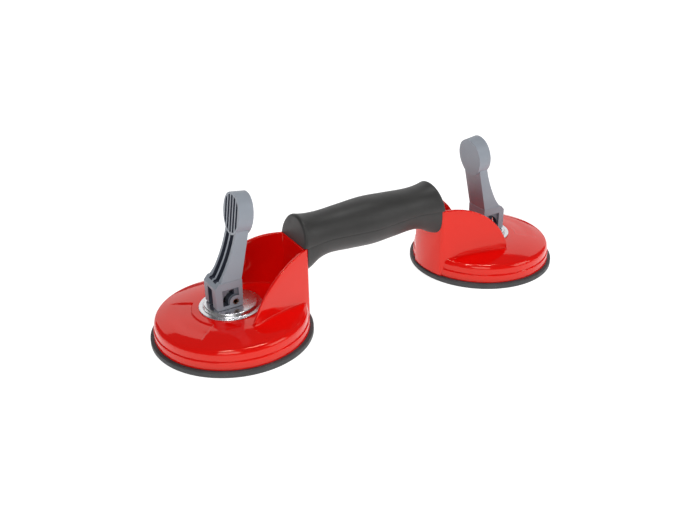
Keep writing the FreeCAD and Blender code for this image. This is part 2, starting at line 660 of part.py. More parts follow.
def fuse(first, second):
    made = doc.addObject("Part::Fuse", "fuse")
    made.Base = first
    made.Tool = second
    return made


def core_screws():
    """Socket head screws down through the bar and the tongues."""
    solids = []
    for x, y in core_screw_places():
        top = "tongueTop + coreThick"
        head = cylinder("coreHead", "2 * coreShank", (x, y, top))
        shank = cylinder("coreShank", "coreThick * 3", (x, y, f"{top} - coreThick * 3"))
        socket = cylinder("0.8 * coreShank", "2 * coreShank", (x, y, f"{top} + 0.8 * coreShank"))
        solids.append(cut(fuse(head, shank), socket))
    join("core_screws", solids)


def core_nuts():
    """Hexagon nuts under the tongues."""
    solids = []
    for x, y in core_screw_places():
        prism = doc.addObject("Part::Prism", "prism")
        prism.Polygon = 6
        bind(prism, "Circumradius", "nutFlats / sqrt(3)")
        bind(prism, "Height", "nutThick")
        for axis, expression in zip("xyz", (x, y, "tongueBottom - nutThick")):
            bind(prism, f"Placement.Base.{axis}", expression)
        hole = cylinder("coreShank", "2 * nutThick", (x, y, "tongueBottom - 1.5 * nutThick"))
        solids.append(cut(prism, hole))
    join("core_nuts", solids)


def grip_screws():
    """Pan head screws up through the lower shell's posts into the upper shell's."""
    solids = []
    for x, y in post_places():
        head = cylinder("gripHead", "headHeight", (x, y, "headSeat - headHeight"))
        shank = cylinder("gripScrew", "gripShank", (x, y, "headSeat"))
        recess = cylinder("0.4 * gripHead", "2 * recessDepth",
                          (x, y, "headSeat - headHeight - recessDepth"))
        solids.append(cut(fuse(head, shank), recess))
    join("grip_screws", solids)


for side in SIDES:
    for make in (suction_pad, pad_plate, pull_stud, return_spring, housing, guide_bush, cover_washer,
                 lever, pivot_pin):
        make(side)
for make in (grip_upper_shell, grip_lower_shell, core_bar, core_screws, core_nuts, grip_screws):
    make()
doc.recompute()

for thing in doc.Objects:
    if {"Invalid", "Error"} & set(thing.State):
        raise RuntimeError(f"{thing.Label} failed: {thing.State}")
for part in parts:
    if part.Shape.isNull() or not part.Shape.isValid():
        raise RuntimeError(f"{part.Label} has no valid shape")

os.makedirs("parts", exist_ok=True)
for part in parts:
    part.Shape.exportStep(f"parts/{part.Label}.step")
    solids = len(part.Shape.Solids)
    print(f"{part.Label}: {solids} solid(s), {part.Shape.Volume / 1000:.2f} cm3")
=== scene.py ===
"""Looks of the twin-head vacuum lifter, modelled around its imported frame."""
import logging
import math
from dataclasses import dataclass, field
from enum import Enum
from typing import Iterable, Sequence

import bpy
from mathutils import Matrix, Vector


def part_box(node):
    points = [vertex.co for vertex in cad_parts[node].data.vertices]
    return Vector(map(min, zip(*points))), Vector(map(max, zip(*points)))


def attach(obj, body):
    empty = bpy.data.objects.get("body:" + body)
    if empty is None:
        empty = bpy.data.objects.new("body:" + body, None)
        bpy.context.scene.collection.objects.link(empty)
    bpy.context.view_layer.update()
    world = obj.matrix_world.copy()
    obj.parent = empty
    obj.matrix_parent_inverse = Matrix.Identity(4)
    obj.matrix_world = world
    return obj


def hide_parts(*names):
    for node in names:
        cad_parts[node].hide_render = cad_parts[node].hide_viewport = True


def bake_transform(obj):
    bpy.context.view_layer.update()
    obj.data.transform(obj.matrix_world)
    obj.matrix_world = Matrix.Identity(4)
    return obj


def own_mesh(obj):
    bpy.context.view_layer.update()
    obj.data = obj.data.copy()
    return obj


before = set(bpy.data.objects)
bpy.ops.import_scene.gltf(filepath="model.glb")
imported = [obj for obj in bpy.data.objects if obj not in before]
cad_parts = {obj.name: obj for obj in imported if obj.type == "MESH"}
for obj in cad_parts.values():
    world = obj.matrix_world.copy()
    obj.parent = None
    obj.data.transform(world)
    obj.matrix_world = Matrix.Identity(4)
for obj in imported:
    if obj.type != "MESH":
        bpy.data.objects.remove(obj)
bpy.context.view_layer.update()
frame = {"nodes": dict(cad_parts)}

log = logging.getLogger("lifter")

MM = 0.001
MERGE = 0.002 * MM
QUARTER = math.pi / 2
END_SLOPE = 1.4  # slope at the end of a smooth curve, against its last chord

Pair = tuple[float, float]
Counts = tuple[int, int]
Point = tuple[float, float, float]


class Side(Enum):
    """The two heads, as the frame's nodes spell them."""

    LEFT = "left"
    RIGHT = "right"

    @property
    def label(self) -> str:
        """Name of the head."""
        return self.value


class Body(Enum):
    """Bodies of the frame that a piece can ride on."""

    FRAME = "frame"
    STUD = "stud"
    LEVER = "lever_arm"

    def on(self, side: Side) -> str:
        """Name of this body on one head."""
        return self.value if self is Body.FRAME else f"{side.label}_{self.value}"


# ------------------------------------------------------------------ modelling moves


class Bench:
    """Modelling moves that the pieces share, done with Blender's own operators."""

    @staticmethod
    def clear() -> None:
        """Deselect everything, the frame's nodes included."""
        for thing in bpy.context.selected_objects:
            thing.select_set(False)

    @staticmethod
    def only(piece: bpy.types.Object) -> None:
        """Select one piece and make it active.

        Args:
            piece: The piece to select.
        """
        Bench.clear()
        piece.select_set(True)
        bpy.context.view_layer.objects.active = piece

    @staticmethod
    def edit(piece: bpy.types.Object) -> None:
        """Open the piece in edit mode with everything in it selected.

        Args:
            piece: The piece to open.
        """
        Bench.only(piece)
        bpy.ops.object.mode_set(mode="EDIT")
        bpy.ops.mesh.select_all(action="SELECT")

    @staticmethod
    def done() -> None:
        """Close edit mode."""
        bpy.ops.object.mode_set(mode="OBJECT")

    @staticmethod
    def weld(piece: bpy.types.Object) -> None:
        """Merge doubles, then turn every face outwards.

        Args:
            piece: The piece to work on.
        """
        Bench.edit(piece)
        bpy.ops.mesh.remove_doubles(threshold=MERGE)
        bpy.ops.mesh.normals_make_consistent(inside=False)
        Bench.done()

    @staticmethod
    def wire(name: str, path: Sequence[Point]) -> bpy.types.Object:
        """A chain of edges drawn from one vertex.

        Args:
            name: Name of the new piece.
            path: Points that the chain runs through.

        Returns:
            The new piece, in object mode.
        """
        Bench.clear()
        bpy.ops.mesh.primitive_plane_add(size=MM)
        piece = bpy.context.object
        piece.name = piece.data.name = name
        Bench.edit(piece)
        bpy.ops.mesh.merge(type="CENTER")
        places = [Vector(p) for p in path]
        bpy.ops.transform.translate(value=places[0])
        for start, finish in zip(places, places[1:]):
            bpy.ops.mesh.extrude_vertices_move(TRANSFORM_OT_translate={"value": finish - start})
        Bench.done()
        return piece

    @staticmethod
    def turned(name: str, section: Sequence[Pair], steps: int, closed: bool = True,
               axis: Point = (0, 0, 1), centre: Point = (0, 0, 0)) -> bpy.types.Object:
        """A piece turned about an axis, as on a lathe.

        Args:
            name: Name of the new piece.
            section: (radius, distance along the axis) pairs.
            steps: Number of steps round the axis.
            closed: Whether the section is a closed loop.
            axis: Direction of the axis, +Z or +Y.
            centre: A point on the axis.

        Returns:
            The new piece.
        """
        upright = axis[2] == 1
        path = [(r + centre[0], centre[1], a + centre[2]) if upright
                else (r + centre[0], a + centre[1], centre[2]) for r, a in section]
        piece = Bench.wire(name, path)
        Bench.edit(piece)
        if closed:
            bpy.ops.mesh.select_all(action="DESELECT")
            Bench.done()
            for index in (0, len(path) - 1):
                piece.data.vertices[index].select = True
            bpy.ops.object.mode_set(mode="EDIT")
            bpy.ops.mesh.edge_face_add()
            bpy.ops.mesh.select_all(action="SELECT")
        bpy.ops.mesh.spin(steps=steps, angle=2 * math.pi, center=centre, axis=axis)
        Bench.done()
        Bench.weld(piece)
        return piece

    @staticmethod
    def slab(name: str, outline: Sequence[Pair], low: float, high: float) -> bpy.types.Object:
        """A flat outline in the XZ plane given thickness along Y.

        Args:
            name: Name of the new piece.
            outline: (x, z) corners in order.
            low: Y at which it starts.
            high: Y at which it ends.

        Returns:
            The new closed piece.
        """
        piece = Bench.wire(name, [(x, low, z) for x, z in outline])
        Bench.edit(piece)
        bpy.ops.mesh.edge_face_add()
        bpy.ops.mesh.select_all(action="SELECT")
        bpy.ops.mesh.extrude_region_move(TRANSFORM_OT_translate={"value": (0, high - low, 0)})
        Bench.done()
        Bench.weld(piece)
        return piece

    @staticmethod
    def loft(name: str, rings: Sequence[Sequence[Point]], caps: bool = False) -> bpy.types.Object:
        """A skin over a row of rings, shaped from a grid ring by ring.

        Args:
            name: Name of the new piece.
            rings: Rings with equal numbers of points, each closed if its last point is its first.
            caps: Whether to close the two ends.

        Returns:
            The new piece.
        """
        Bench.clear()
        bpy.ops.mesh.primitive_grid_add(x_subdivisions=len(rings[0]) - 1,
                                        y_subdivisions=len(rings) - 1, size=1)
        piece = bpy.context.object
        piece.name = piece.data.name = name
        flat = [value for ring in rings for point in ring for value in point]
        piece.data.vertices.foreach_set("co", flat)
        piece.data.update()
        Bench.edit(piece)
        bpy.ops.mesh.remove_doubles(threshold=MERGE)
        if caps:
            bpy.ops.mesh.select_all(action="DESELECT")
            bpy.ops.mesh.select_mode(type="EDGE")
            bpy.ops.mesh.select_non_manifold()
            bpy.ops.mesh.fill_holes(sides=0)
            bpy.ops.mesh.select_mode(type="VERT")
            bpy.ops.mesh.select_all(action="SELECT")
        bpy.ops.mesh.normals_make_consistent(inside=False)
        Bench.done()
        return piece

    @staticmethod
    def modify(piece: bpy.types.Object, kind: str, **settings: object) -> None:
        """Add one modifier with its settings and apply it.

        Args:
            piece: The piece to work on.
            kind: The modifier, as Blender names its kind.
            **settings: Values for the modifier's own settings.
        """
        Bench.only(piece)
        modifier = piece.modifiers.new(kind, kind)
        for key, value in settings.items():
            setattr(modifier, key, value)
        bpy.ops.object.modifier_apply(modifier=modifier.name)

    @staticmethod
    def combine(piece: bpy.types.Object, tool: bpy.types.Object, operation: str) -> None:
        """Boolean the tool into the piece, and drop the tool.

        Args:
            piece: The piece that stays.
            tool: The shape that is put into it.
            operation: UNION, DIFFERENCE or INTERSECT.
        """
        Bench.modify(piece, "BOOLEAN", object=tool, operation=operation, solver="EXACT",
                     material_mode="TRANSFER")
        bpy.data.objects.remove(tool)

    @staticmethod
    def cut(piece: bpy.types.Object, tool: bpy.types.Object) -> None:
        """Take the tool's shape out of the piece."""
        Bench.combine(piece, tool, "DIFFERENCE")

    @staticmethod
    def join(piece: bpy.types.Object, others: Iterable[bpy.types.Object]) -> None:
        """Make the others part of the piece's mesh.

        Args:
            piece: The piece that stays.
            others: The pieces that become part of it.
        """
        Bench.only(piece)
        for other in others:
            other.select_set(True)
        bpy.ops.object.join()

    @staticmethod
    def round_edges(piece: bpy.types.Object, width: float, segments: int = 3,
                    angle: float = 35) -> None:
        """Round every edge sharper than the angle, and shade the piece by its larger faces.

        Args:
            piece: The piece to work on.
            width: Width of the rounding.
            segments: Steps across it.
            angle: Degrees past which an edge is rounded.
        """
        Bench.modify(piece, "BEVEL", width=width, segments=segments, limit_method="ANGLE",
                     angle_limit=math.radians(angle), use_clamp_overlap=True)
        Bench.smooth(piece, 40)
        Bench.modify(piece, "WEIGHTED_NORMAL", weight=80, keep_sharp=True)

    @staticmethod
    def smooth(piece: bpy.types.Object, angle: float) -> None:
        """Shade smooth, with edges sharper than the angle left crisp."""
        Bench.only(piece)
        bpy.ops.object.shade_smooth_by_angle(angle=math.radians(angle))

    @staticmethod
    def paint(piece: bpy.types.Object, *materials: bpy.types.Material) -> None:
        """Give the piece its material slots, the first of which covers it.

        Args:
            piece: The piece to work on.
            *materials: Its materials, in the order of their slots.
        """
        piece.data.materials.clear()
        for material in materials:
            piece.data.materials.append(material)


class Path:
    """Outlines and curves from a few corners."""

    @staticmethod
    def rounded(corners: Sequence[Point], closed: bool = False, steps: int = 6) -> list[Pair]:
        """Points along straight runs whose corners are rounded.

        Args:
            corners: (a, b, radius) for each corner.
            closed: Whether the last corner joins the first.
            steps: Steps in each rounding.

        Returns:
            (a, b) pairs.
        """
        count = len(corners)
        places = [Vector((a, b)) for a, b, _ in corners]
        points: list[Pair] = []
        for index, (a, b, radius) in enumerate(corners):
            if radius == 0 or (not closed and index in (0, count - 1)):
                points.append((a, b))
                continue
            before = places[index - 1] - places[index]
            after = places[(index + 1) % count] - places[index]
            half = before.angle(after) / 2
            reach = min(radius / math.tan(half), 0.49 * before.length, 0.49 * after.length)
            radius = reach * math.tan(half)
            middle = (before.normalized() + after.normalized()).normalized()
            centre = places[index] + middle * (radius / math.sin(half))
            start = places[index] + before.normalized() * reach - centre
            finish = places[index] + after.normalized() * reach - centre
            points += [tuple(centre + start.slerp(finish, step / steps) * start.length)
                       for step in range(steps + 1)]
        return points

    @staticmethod
    def arc(start: Pair, finish: Pair, radius: float, steps: int = 12) -> list[Pair]:
        """Points of an arc that bulges to the right of start-finish for a positive radius.

        Args:
            start: First point.
            finish: Last point, which is left out so that arcs can follow one another.
            radius: Radius of the arc.
            steps: Steps along it.

        Returns:
            (a, b) pairs.
        """
        first, last = Vector(start), Vector(finish)
        chord = last - first
        right = Vector((chord.y, -chord.x)).normalized() * math.copysign(1, radius)
        centre = (first + last) / 2 - right * math.sqrt(radius ** 2 - chord.length_squared / 4)
        return [tuple(centre + (first - centre).slerp(last - centre, step / steps) * abs(radius))
                for step in range(steps)]

    @staticmethod
    def through(stations: Sequence[Pair], place: float) -> float:
        """Height of a smooth curve through (place, value) stations, level at its first one.

        Args:
            stations: (place, value) pairs in rising order of place.
            place: Where the curve is read.

        Returns:
            The value there.
        """
        for index in range(len(stations) - 1):
            if place <= stations[index + 1][0] or index == len(stations) - 2:
                break
        (x0, y0), (x1, y1) = stations[index], stations[index + 1]
        chord = (y1 - y0) / (x1 - x0)
        slopes = []
        for spot in (index, index + 1):
            if spot == 0:
                slopes.append(0.0)
            elif spot == len(stations) - 1:
                slopes.append(chord * END_SLOPE)
            else:
                (xa, ya), (xb, yb) = stations[spot - 1], stations[spot + 1]
                slopes.append((yb - ya) / (xb - xa))
        t = (place - x0) / (x1 - x0)
        width = x1 - x0
        return ((2 * t ** 3 - 3 * t ** 2 + 1) * y0 + (t ** 3 - 2 * t ** 2 + t) * width * slopes[0]
                + (3 * t ** 2 - 2 * t ** 3) * y1 + (t ** 3 - t ** 2) * width * slopes[1])

    @staticmethod
    def ease(value: float) -> float:
        """Smooth step from 0 to 1."""
        value = min(1.0, max(0.0, value))
        return value * value * (3 - 2 * value)


# ------------------------------------------------------------------ finishes


class Effects:
    """Shader groups that several finishes share. Each is built once."""

    @staticmethod
    def start(name: str, inputs: dict[str, float], output: str, kind: str
              ) -> tuple[bpy.types.NodeTree, bpy.types.Node, bpy.types.Node]:
        """A new group with a Vector input, float inputs and one output.

        Args:
            name: Name of the group.
            inputs: Float inputs and their defaults.
            output: Name of the output.
            kind: Socket type of the output.

        Returns:
            The tree, its input node and its output node.
        """
        tree = bpy.data.node_groups.new(name, "ShaderNodeTree")
        tree.interface.new_socket("Vector", in_out="INPUT", socket_type="NodeSocketVector")
        for key, value in inputs.items():
            socket = tree.interface.new_socket(key, in_out="INPUT", socket_type="NodeSocketFloat")
            socket.default_value = value
        tree.interface.new_socket(output, in_out="OUTPUT", socket_type=kind)
        return tree, tree.nodes.new("NodeGroupInput"), tree.nodes.new("NodeGroupOutput")

    @staticmethod
    def mottle() -> bpy.types.NodeTree:
        """Slow cloudy variation between two values.

        Returns:
            The node group, with a shade from 0 to 1 as its output.
        """
        name = "mottle"
        if name in bpy.data.node_groups:
            return bpy.data.node_groups[name]
        tree, inside, outside = Effects.start(
            name, {"Scale": 40.0, "Low": 0.0, "High": 1.0}, "Value", "NodeSocketFloat")
        noise = tree.nodes.new("ShaderNodeTexNoise")
        noise.inputs["Detail"].default_value = 4.0
        spread = tree.nodes.new("ShaderNodeMapRange")
        spread.inputs["From Min"].default_value = 0.3
        spread.inputs["From Max"].default_value = 0.7
        tree.links.new(inside.outputs["Vector"], noise.inputs["Vector"])
        tree.links.new(inside.outputs["Scale"], noise.inputs["Scale"])
        tree.links.new(noise.outputs["Fac"], spread.inputs["Value"])
        tree.links.new(inside.outputs["Low"], spread.inputs["To Min"])
        tree.links.new(inside.outputs["High"], spread.inputs["To Max"])
        tree.links.new(spread.outputs["Result"], outside.inputs["Value"])
        return tree

    @staticmethod
    def grain() -> bpy.types.NodeTree:
        """Fine moulded texture as a height.

        Returns:
            The node group, with a height as its output.
        """
        name = "grain"
        if name in bpy.data.node_groups:
            return bpy.data.node_groups[name]
        tree, inside, outside = Effects.start(name, {"Scale": 1500.0}, "Height", "NodeSocketFloat")
        noise = tree.nodes.new("ShaderNodeTexNoise")
        noise.inputs["Detail"].default_value = 2.0
        pebble = tree.nodes.new("ShaderNodeTexVoronoi")
        blend = tree.nodes.new("ShaderNodeMath")
        blend.operation = "MULTIPLY"
        tree.links.new(inside.outputs["Vector"], noise.inputs["Vector"])
        tree.links.new(inside.outputs["Vector"], pebble.inputs["Vector"])
        tree.links.new(inside.outputs["Scale"], noise.inputs["Scale"])
        tree.links.new(inside.outputs["Scale"], pebble.inputs["Scale"])
        tree.links.new(noise.outputs["Fac"], blend.inputs[0])
        tree.links.new(pebble.outputs["Distance"], blend.inputs[1])
        tree.links.new(blend.outputs["Value"], outside.inputs["Height"])
        return tree

    @staticmethod
    def specks() -> bpy.types.NodeTree:
        """Sparse dust specks as a mask.

        Returns:
            The node group, with a mask from 0 to 1 as its output.
        """
        name = "specks"
        if name in bpy.data.node_groups:
            return bpy.data.node_groups[name]
        tree, inside, outside = Effects.start(
            name, {"Scale": 300.0, "Size": 0.08}, "Mask", "NodeSocketFloat")
        cells = tree.nodes.new("ShaderNodeTexVoronoi")
        near = tree.nodes.new("ShaderNodeMath")
        near.operation = "LESS_THAN"
        tree.links.new(inside.outputs["Vector"], cells.inputs["Vector"])
        tree.links.new(inside.outputs["Scale"], cells.inputs["Scale"])
        tree.links.new(cells.outputs["Distance"], near.inputs[0])
        tree.links.new(inside.outputs["Size"], near.inputs[1])
        tree.links.new(near.outputs["Value"], outside.inputs["Mask"])
        return tree


Colour = tuple[float, float, float]


@dataclass(frozen=True)
class Finish:
    """A surface finish: two close colours, a band of roughness and a fine relief."""

    name: str
    colour: Colour
    second: Colour
    rough: Pair = (0.4, 0.5)
    cloud: float = 40.0
    metallic: float = 0.0
    grain: float = 1500.0
    relief: float = 0.1
    depth: float = 0.05 * MM
    coat: float = 0.0
    coat_rough: float = 0.03
    sheen: float = 0.0
    specular: float = 0.5
    tint: Colour = (1.0, 1.0, 1.0)
    dust: float = 0.0
    dust_colour: Colour = (0.5, 0.48, 0.45)
    stretch: Point = (1.0, 1.0, 1.0)

    def material(self) -> bpy.types.Material:
        """The finish as a material, built on its first use.

        Returns:
            The material.
        """
        if self.name in bpy.data.materials:
            return bpy.data.materials[self.name]
        made = bpy.data.materials.new(self.name)
        made.use_nodes = True
        nodes, links = made.node_tree.nodes, made.node_tree.links
        shader = nodes["Principled BSDF"]
        place = nodes.new("ShaderNodeTexCoord")
        turn = nodes.new("ShaderNodeMapping")
        turn.inputs["Scale"].default_value = self.stretch
        links.new(place.outputs["Object"], turn.inputs["Vector"])

        def effect(tree: bpy.types.NodeTree, **values: float) -> bpy.types.NodeSocket:
            """Add one of the shared patterns to the finish.

            Args:
                tree: The pattern's node group.
                **values: Values for its inputs.

            Returns:
                The pattern's output.
            """
            group = nodes.new("ShaderNodeGroup")
            group.node_tree = tree
            links.new(turn.outputs["Vector"], group.inputs["Vector"])
            for key, value in values.items():
                group.inputs[key].default_value = value
            return group.outputs[0]

        shade = nodes.new("ShaderNodeMix")
        shade.data_type = "RGBA"
        shade.inputs["A"].default_value = (*self.colour, 1)
        shade.inputs["B"].default_value = (*self.second, 1)
        links.new(effect(Effects.mottle(), Scale=self.cloud), shade.inputs["Factor"])
        colour = shade.outputs["Result"]
        if self.dust:
            dusty = nodes.new("ShaderNodeMix")
            dusty.data_type = "RGBA"
            dusty.inputs["B"].default_value = (*self.dust_colour, 1)
            faint = nodes.new("ShaderNodeMath")
            faint.operation = "MULTIPLY"
            faint.inputs[1].default_value = self.dust
            links.new(effect(Effects.specks()), faint.inputs[0])
            links.new(faint.outputs["Value"], dusty.inputs["Factor"])
            links.new(colour, dusty.inputs["A"])
            colour = dusty.outputs["Result"]
        links.new(colour, shader.inputs["Base Color"])
        links.new(effect(Effects.mottle(), Scale=2.3 * self.cloud, Low=self.rough[0],
                         High=self.rough[1]), shader.inputs["Roughness"])
        bump = nodes.new("ShaderNodeBump")
        bump.inputs["Strength"].default_value = self.relief
        bump.inputs["Distance"].default_value = self.depth
        links.new(effect(Effects.grain(), Scale=self.grain), bump.inputs["Height"])
        links.new(bump.outputs["Normal"], shader.inputs["Normal"])
        shader.inputs["Metallic"].default_value = self.metallic
        shader.inputs["Coat Weight"].default_value = self.coat
        shader.inputs["Coat Roughness"].default_value = self.coat_rough
        shader.inputs["Sheen Weight"].default_value = self.sheen
        shader.inputs["Specular IOR Level"].default_value = self.specular
        shader.inputs["Specular Tint"].default_value = (*self.tint, 1)
        return made


class Finishes(Enum):
    """Every finish on the lifter."""

    RED_PAINT = Finish("red_powder_gloss", (0.90, 0.004, 0.002), (0.86, 0.003, 0.002),
                       rough=(0.045, 0.075), cloud=25.0, grain=420.0, relief=0.035, depth=0.04 * MM,
                       coat=0.0, specular=0.55, tint=(1.0, 0.92, 0.72))
    PAD_RUBBER = Finish("pad_black_rubber", (0.040, 0.041, 0.043), (0.055, 0.056, 0.058),
                        rough=(0.5, 0.62), cloud=90.0, grain=2200.0, relief=0.3, dust=0.25)
    LEVER_PLASTIC = Finish("lever_blue_grey", (0.305, 0.338, 0.388), (0.326, 0.360, 0.412),
                           rough=(0.40, 0.50), cloud=60.0, grain=2600.0, relief=0.22)
    # Painted shade: near-black navy laid on the faces cut by the lever's channels, slot, window and
    # thumb grooves, where shade falls in the recesses.
    LEVER_RECESS = Finish("lever_recess_painted_shade", (0.030, 0.037, 0.060), (0.040, 0.048, 0.074),
                          rough=(0.55, 0.68), cloud=80.0, grain=2600.0, relief=0.2)
    # Painted shade: a darker grey for the side pockets round the pin's boss, where shade falls.
    LEVER_POCKET = Finish("lever_pocket_painted_shade", (0.165, 0.187, 0.225), (0.180, 0.204, 0.243),
                          rough=(0.45, 0.55), cloud=60.0, grain=2600.0, relief=0.2)
    GRIP_PLASTIC = Finish("grip_charcoal", (0.026, 0.0255, 0.0245), (0.034, 0.033, 0.032),
                          rough=(0.42, 0.52), cloud=55.0, grain=1900.0, relief=0.42, sheen=0.05)
    CHROME = Finish("washer_bright_plate", (0.80, 0.80, 0.82), (0.72, 0.72, 0.75),
                    rough=(0.20, 0.30), cloud=70.0, metallic=1.0, grain=900.0, relief=0.008)
    ZINC = Finish("zinc_plated_steel", (0.60, 0.60, 0.62), (0.50, 0.51, 0.55),
                  rough=(0.26, 0.40), cloud=120.0, metallic=1.0, grain=1400.0, relief=0.12)
    PIN_STEEL = Finish("pin_rolled_steel", (0.30, 0.25, 0.19), (0.22, 0.19, 0.15),
                       rough=(0.22, 0.34), cloud=160.0, metallic=1.0, grain=2600.0, relief=0.1,
                       stretch=(1.0, 0.15, 1.0))
    ACETAL = Finish("bush_acetal", (0.70, 0.70, 0.67), (0.78, 0.78, 0.75),
                    rough=(0.38, 0.46), cloud=70.0, grain=2400.0, relief=0.08)

    def material(self) -> bpy.types.Material:
        """This finish's material."""
        return self.value.material()


# ------------------------------------------------------------------ pieces of one head


@dataclass
class Placing:
    """Where a finished pattern goes: the axis of one head."""

    side: Side
    along: float

    @property
    def matrix(self) -> Matrix:
        """Turn and shift from the head's own axes to the frame's."""
        turn = Matrix.Rotation(0 if self.side is Side.LEFT else math.pi, 4, "Z")
        return Matrix.Translation((self.along, 0, 0)) @ turn

    @staticmethod
    def of(side: Side) -> "Placing":
        """Read a head's axis from its pad in the frame."""
        low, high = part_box(f"{side.label}_suction_pad")
        return Placing(side, (low.x + high.x) / 2)

    def copy(self, pattern: bpy.types.Object, name: str) -> bpy.types.Object:
        """A copy of the pattern, with its own mesh, put in its place on this head.

        Args:
            pattern: The finished pattern, made at the origin.
            name: Name of the new piece.

        Returns:
            The new piece.
        """
        piece = bpy.data.objects.new(name, pattern.data.copy())
        piece.data.name = name
        bpy.context.scene.collection.objects.link(piece)
        piece.data.transform(self.matrix)
        return piece


def register(piece: bpy.types.Object, body: str | None, slot: str, *nodes: str) -> None:
    """Tie a finished piece to its body and hide the nodes that it stands for.

    Args:
        piece: The finished piece.
        body: Body that it rides on, or None to leave it untied.
        slot: Not used.
        nodes: Nodes of the frame that it replaces.
    """
    if body:
        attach(piece, body)
    if nodes:
        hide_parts(*nodes)
    log.info("%s: %d faces", piece.name, len(piece.data.polygons))


@dataclass
class HeadHousing:
    """Painted housing of one head: turned dome with a sunk panel, shroud, and the handle's tongue."""

    bore: float = 6.5 * MM
    boss: float = 9.5 * MM
    boss_bottom: float = 18.4 * MM
    flat: float = 24.0 * MM
    top: float = 23.5 * MM
    crown: float = 49.0 * MM
    crown_edge: float = 20.3 * MM
    shoulder: float = 56.6 * MM
    shoulder_round: float = 7.6 * MM
    step: Pair = (10.6 * MM, 11.4 * MM)
    rim: Pair = (57.8 * MM, 57.5 * MM)
    rim_bottom: float = 4.6 * MM
    wall: float = 2.5 * MM
    panel: Pair = (29.0 * MM, 48.5 * MM)
    panel_depth: float = 1.0 * MM
    panel_half: float = math.radians(39.5)
    panel_edge: float = math.radians(1.5)
    tip: Pair = (2.2 * MM, 36.4 * MM)
    corner: Pair = (56.2 * MM, 18.1 * MM)
    corner_round: float = 3.0 * MM
    wing: float = 2.6 * MM
    back: float = 58.8 * MM
    back_inner: float = 53.2 * MM
    break_round: float = 0.45 * MM
    crown_rows: int = 62
    corner_share: float = 0.66
    back_turn: float = 1.9 * MM
    back_proud: float = 0.1 * MM
    miter: float = 1.3
    wall_columns: Counts = (90, 24)
    edge: float = 0.75 * MM
    foot: float = 1.3 * MM
    lean_sweep: tuple[float, float, float] = (63.3 * MM, -7.2 * MM, 69.5 * MM)
    full_sweep: tuple[float, float, float] = (48.0 * MM, 15.3 * MM, 47.0 * MM)
    tongue: tuple[float, float, float, float] = (86.0 * MM, 12.0 * MM, 56.0 * MM, 61.0 * MM)
    screws: Pair = (68.0 * MM, 80.0 * MM)
    screw_hole: float = 2.75 * MM

    def height(self, radius: float) -> float:
        """Height of the dome's outer face at a radius.

        Args:
            radius: Distance from the head's axis.

        Returns:
            The height there.
        """
        if radius <= self.flat:
            return self.top
        if radius <= self.crown:
            fall = (self.top - self.crown_edge) / (self.crown - self.flat) ** 2
            return self.top - fall * (radius - self.flat) ** 2
        section = self.skin()
        for (r0, z0), (r1, z1) in zip(section, section[1:]):
            if r0 <= radius <= r1:
                return z0 + (z1 - z0) * (radius - r0) / max(r1 - r0, MERGE)
        return self.rim_bottom

    def skin(self) -> list[Pair]:
        """Outer profile from the crown's edge down to the rim's lower edge.

        Returns:
            (radius, height) points.
        """
        slope = 2 * (self.top - self.crown_edge) / (self.crown - self.flat)
        start = (self.crown - MM, self.crown_edge + slope * MM)
        meet = self.crown_edge - slope * (self.shoulder - self.crown)
        return Path.rounded([
            (*start, 0), (self.shoulder, meet, self.shoulder_round),
            (self.shoulder, self.step[1], self.break_round),
            (self.rim[1], self.step[0], self.break_round),
            (self.rim[0], self.rim_bottom + 0.3 * MM, 0), (self.rim[0], self.rim_bottom, 0.25 * MM),
            (self.rim[0] - self.wall, self.rim_bottom, 0)], steps=12)

    def section(self, sunk: float) -> list[Point]:
        """Closed radial section, lowered inside the panel.

        Args:
            sunk: Share of the panel's depth, from 0 to 1.

        Returns:
            (radius, 0, height) points, the last one the same as the first.
        """
        points = [(self.bore, self.boss_bottom), (self.bore, self.top - 0.3 * MM),
                  (self.bore + 0.3 * MM, self.top)]
        for row in range(self.crown_rows):
            radius = self.flat - 6 * MM + (self.crown - MM - self.flat + 6 * MM) * row / self.crown_rows
            near = Path.ease((radius - self.panel[0] + 0.5 * MM) / MM)
            far = Path.ease((self.panel[1] - radius) / (11 * MM))
            points.append((radius, self.height(radius) - self.panel_depth * sunk * near * far))
        points += self.skin()
        points += [(self.shoulder - self.wall, self.step[0]), (self.crown, self.crown_edge - self.wall),
                   (self.flat + self.boss, self.top - self.wall - 0.3 * MM),
                   (self.boss, self.top - self.wall), (self.boss, self.boss_bottom)]
        points.append(points[0])
        return [(r, 0, z) for r, z in points]

    def dome(self) -> bpy.types.Object:
        """Dome and rim, with the sunk panel on the side away from the handle.

        Returns:
            The dome and rim as one piece.
        """
        fine = 12
        turns = [math.radians(angle) for angle in range(0, 361, 2)]
        edges = [math.pi + sign * (self.panel_half + self.panel_edge * (share / fine - 0.5))
                 for sign in (-1, 1) for share in range(fine + 1)]
        angles = sorted(set(turns + edges))
        rings = []
        for angle in angles:
            away = abs(angle - math.pi)
            sunk = Path.ease((self.panel_half + self.panel_edge / 2 - away) / self.panel_edge)
            spin = Matrix.Rotation(angle, 3, "Z")
            rings.append([tuple(spin @ Vector(point)) for point in self.section(sunk)])
        return Bench.loft("housing_dome", rings)

    def brow(self, place: Vector) -> float:
        """Height of the shroud's top edge, a fuller arc on the wing at +Y than on the other one.

        Args:
            place: Point on the plan, about the head's axis.

        Returns:
            The height of the top edge there.
        """
        def arc(sweep: tuple[float, float, float]) -> float:
            """Height of one sweep's circle above the place."""
            centre, low, radius = sweep
            return low + math.sqrt(radius ** 2 - min(radius, centre - min(place.x, centre)) ** 2)

        share = Path.ease(0.5 + 0.5 * place.y / self.corner[1])
        return arc(self.lean_sweep) + (arc(self.full_sweep) - arc(self.lean_sweep)) * share

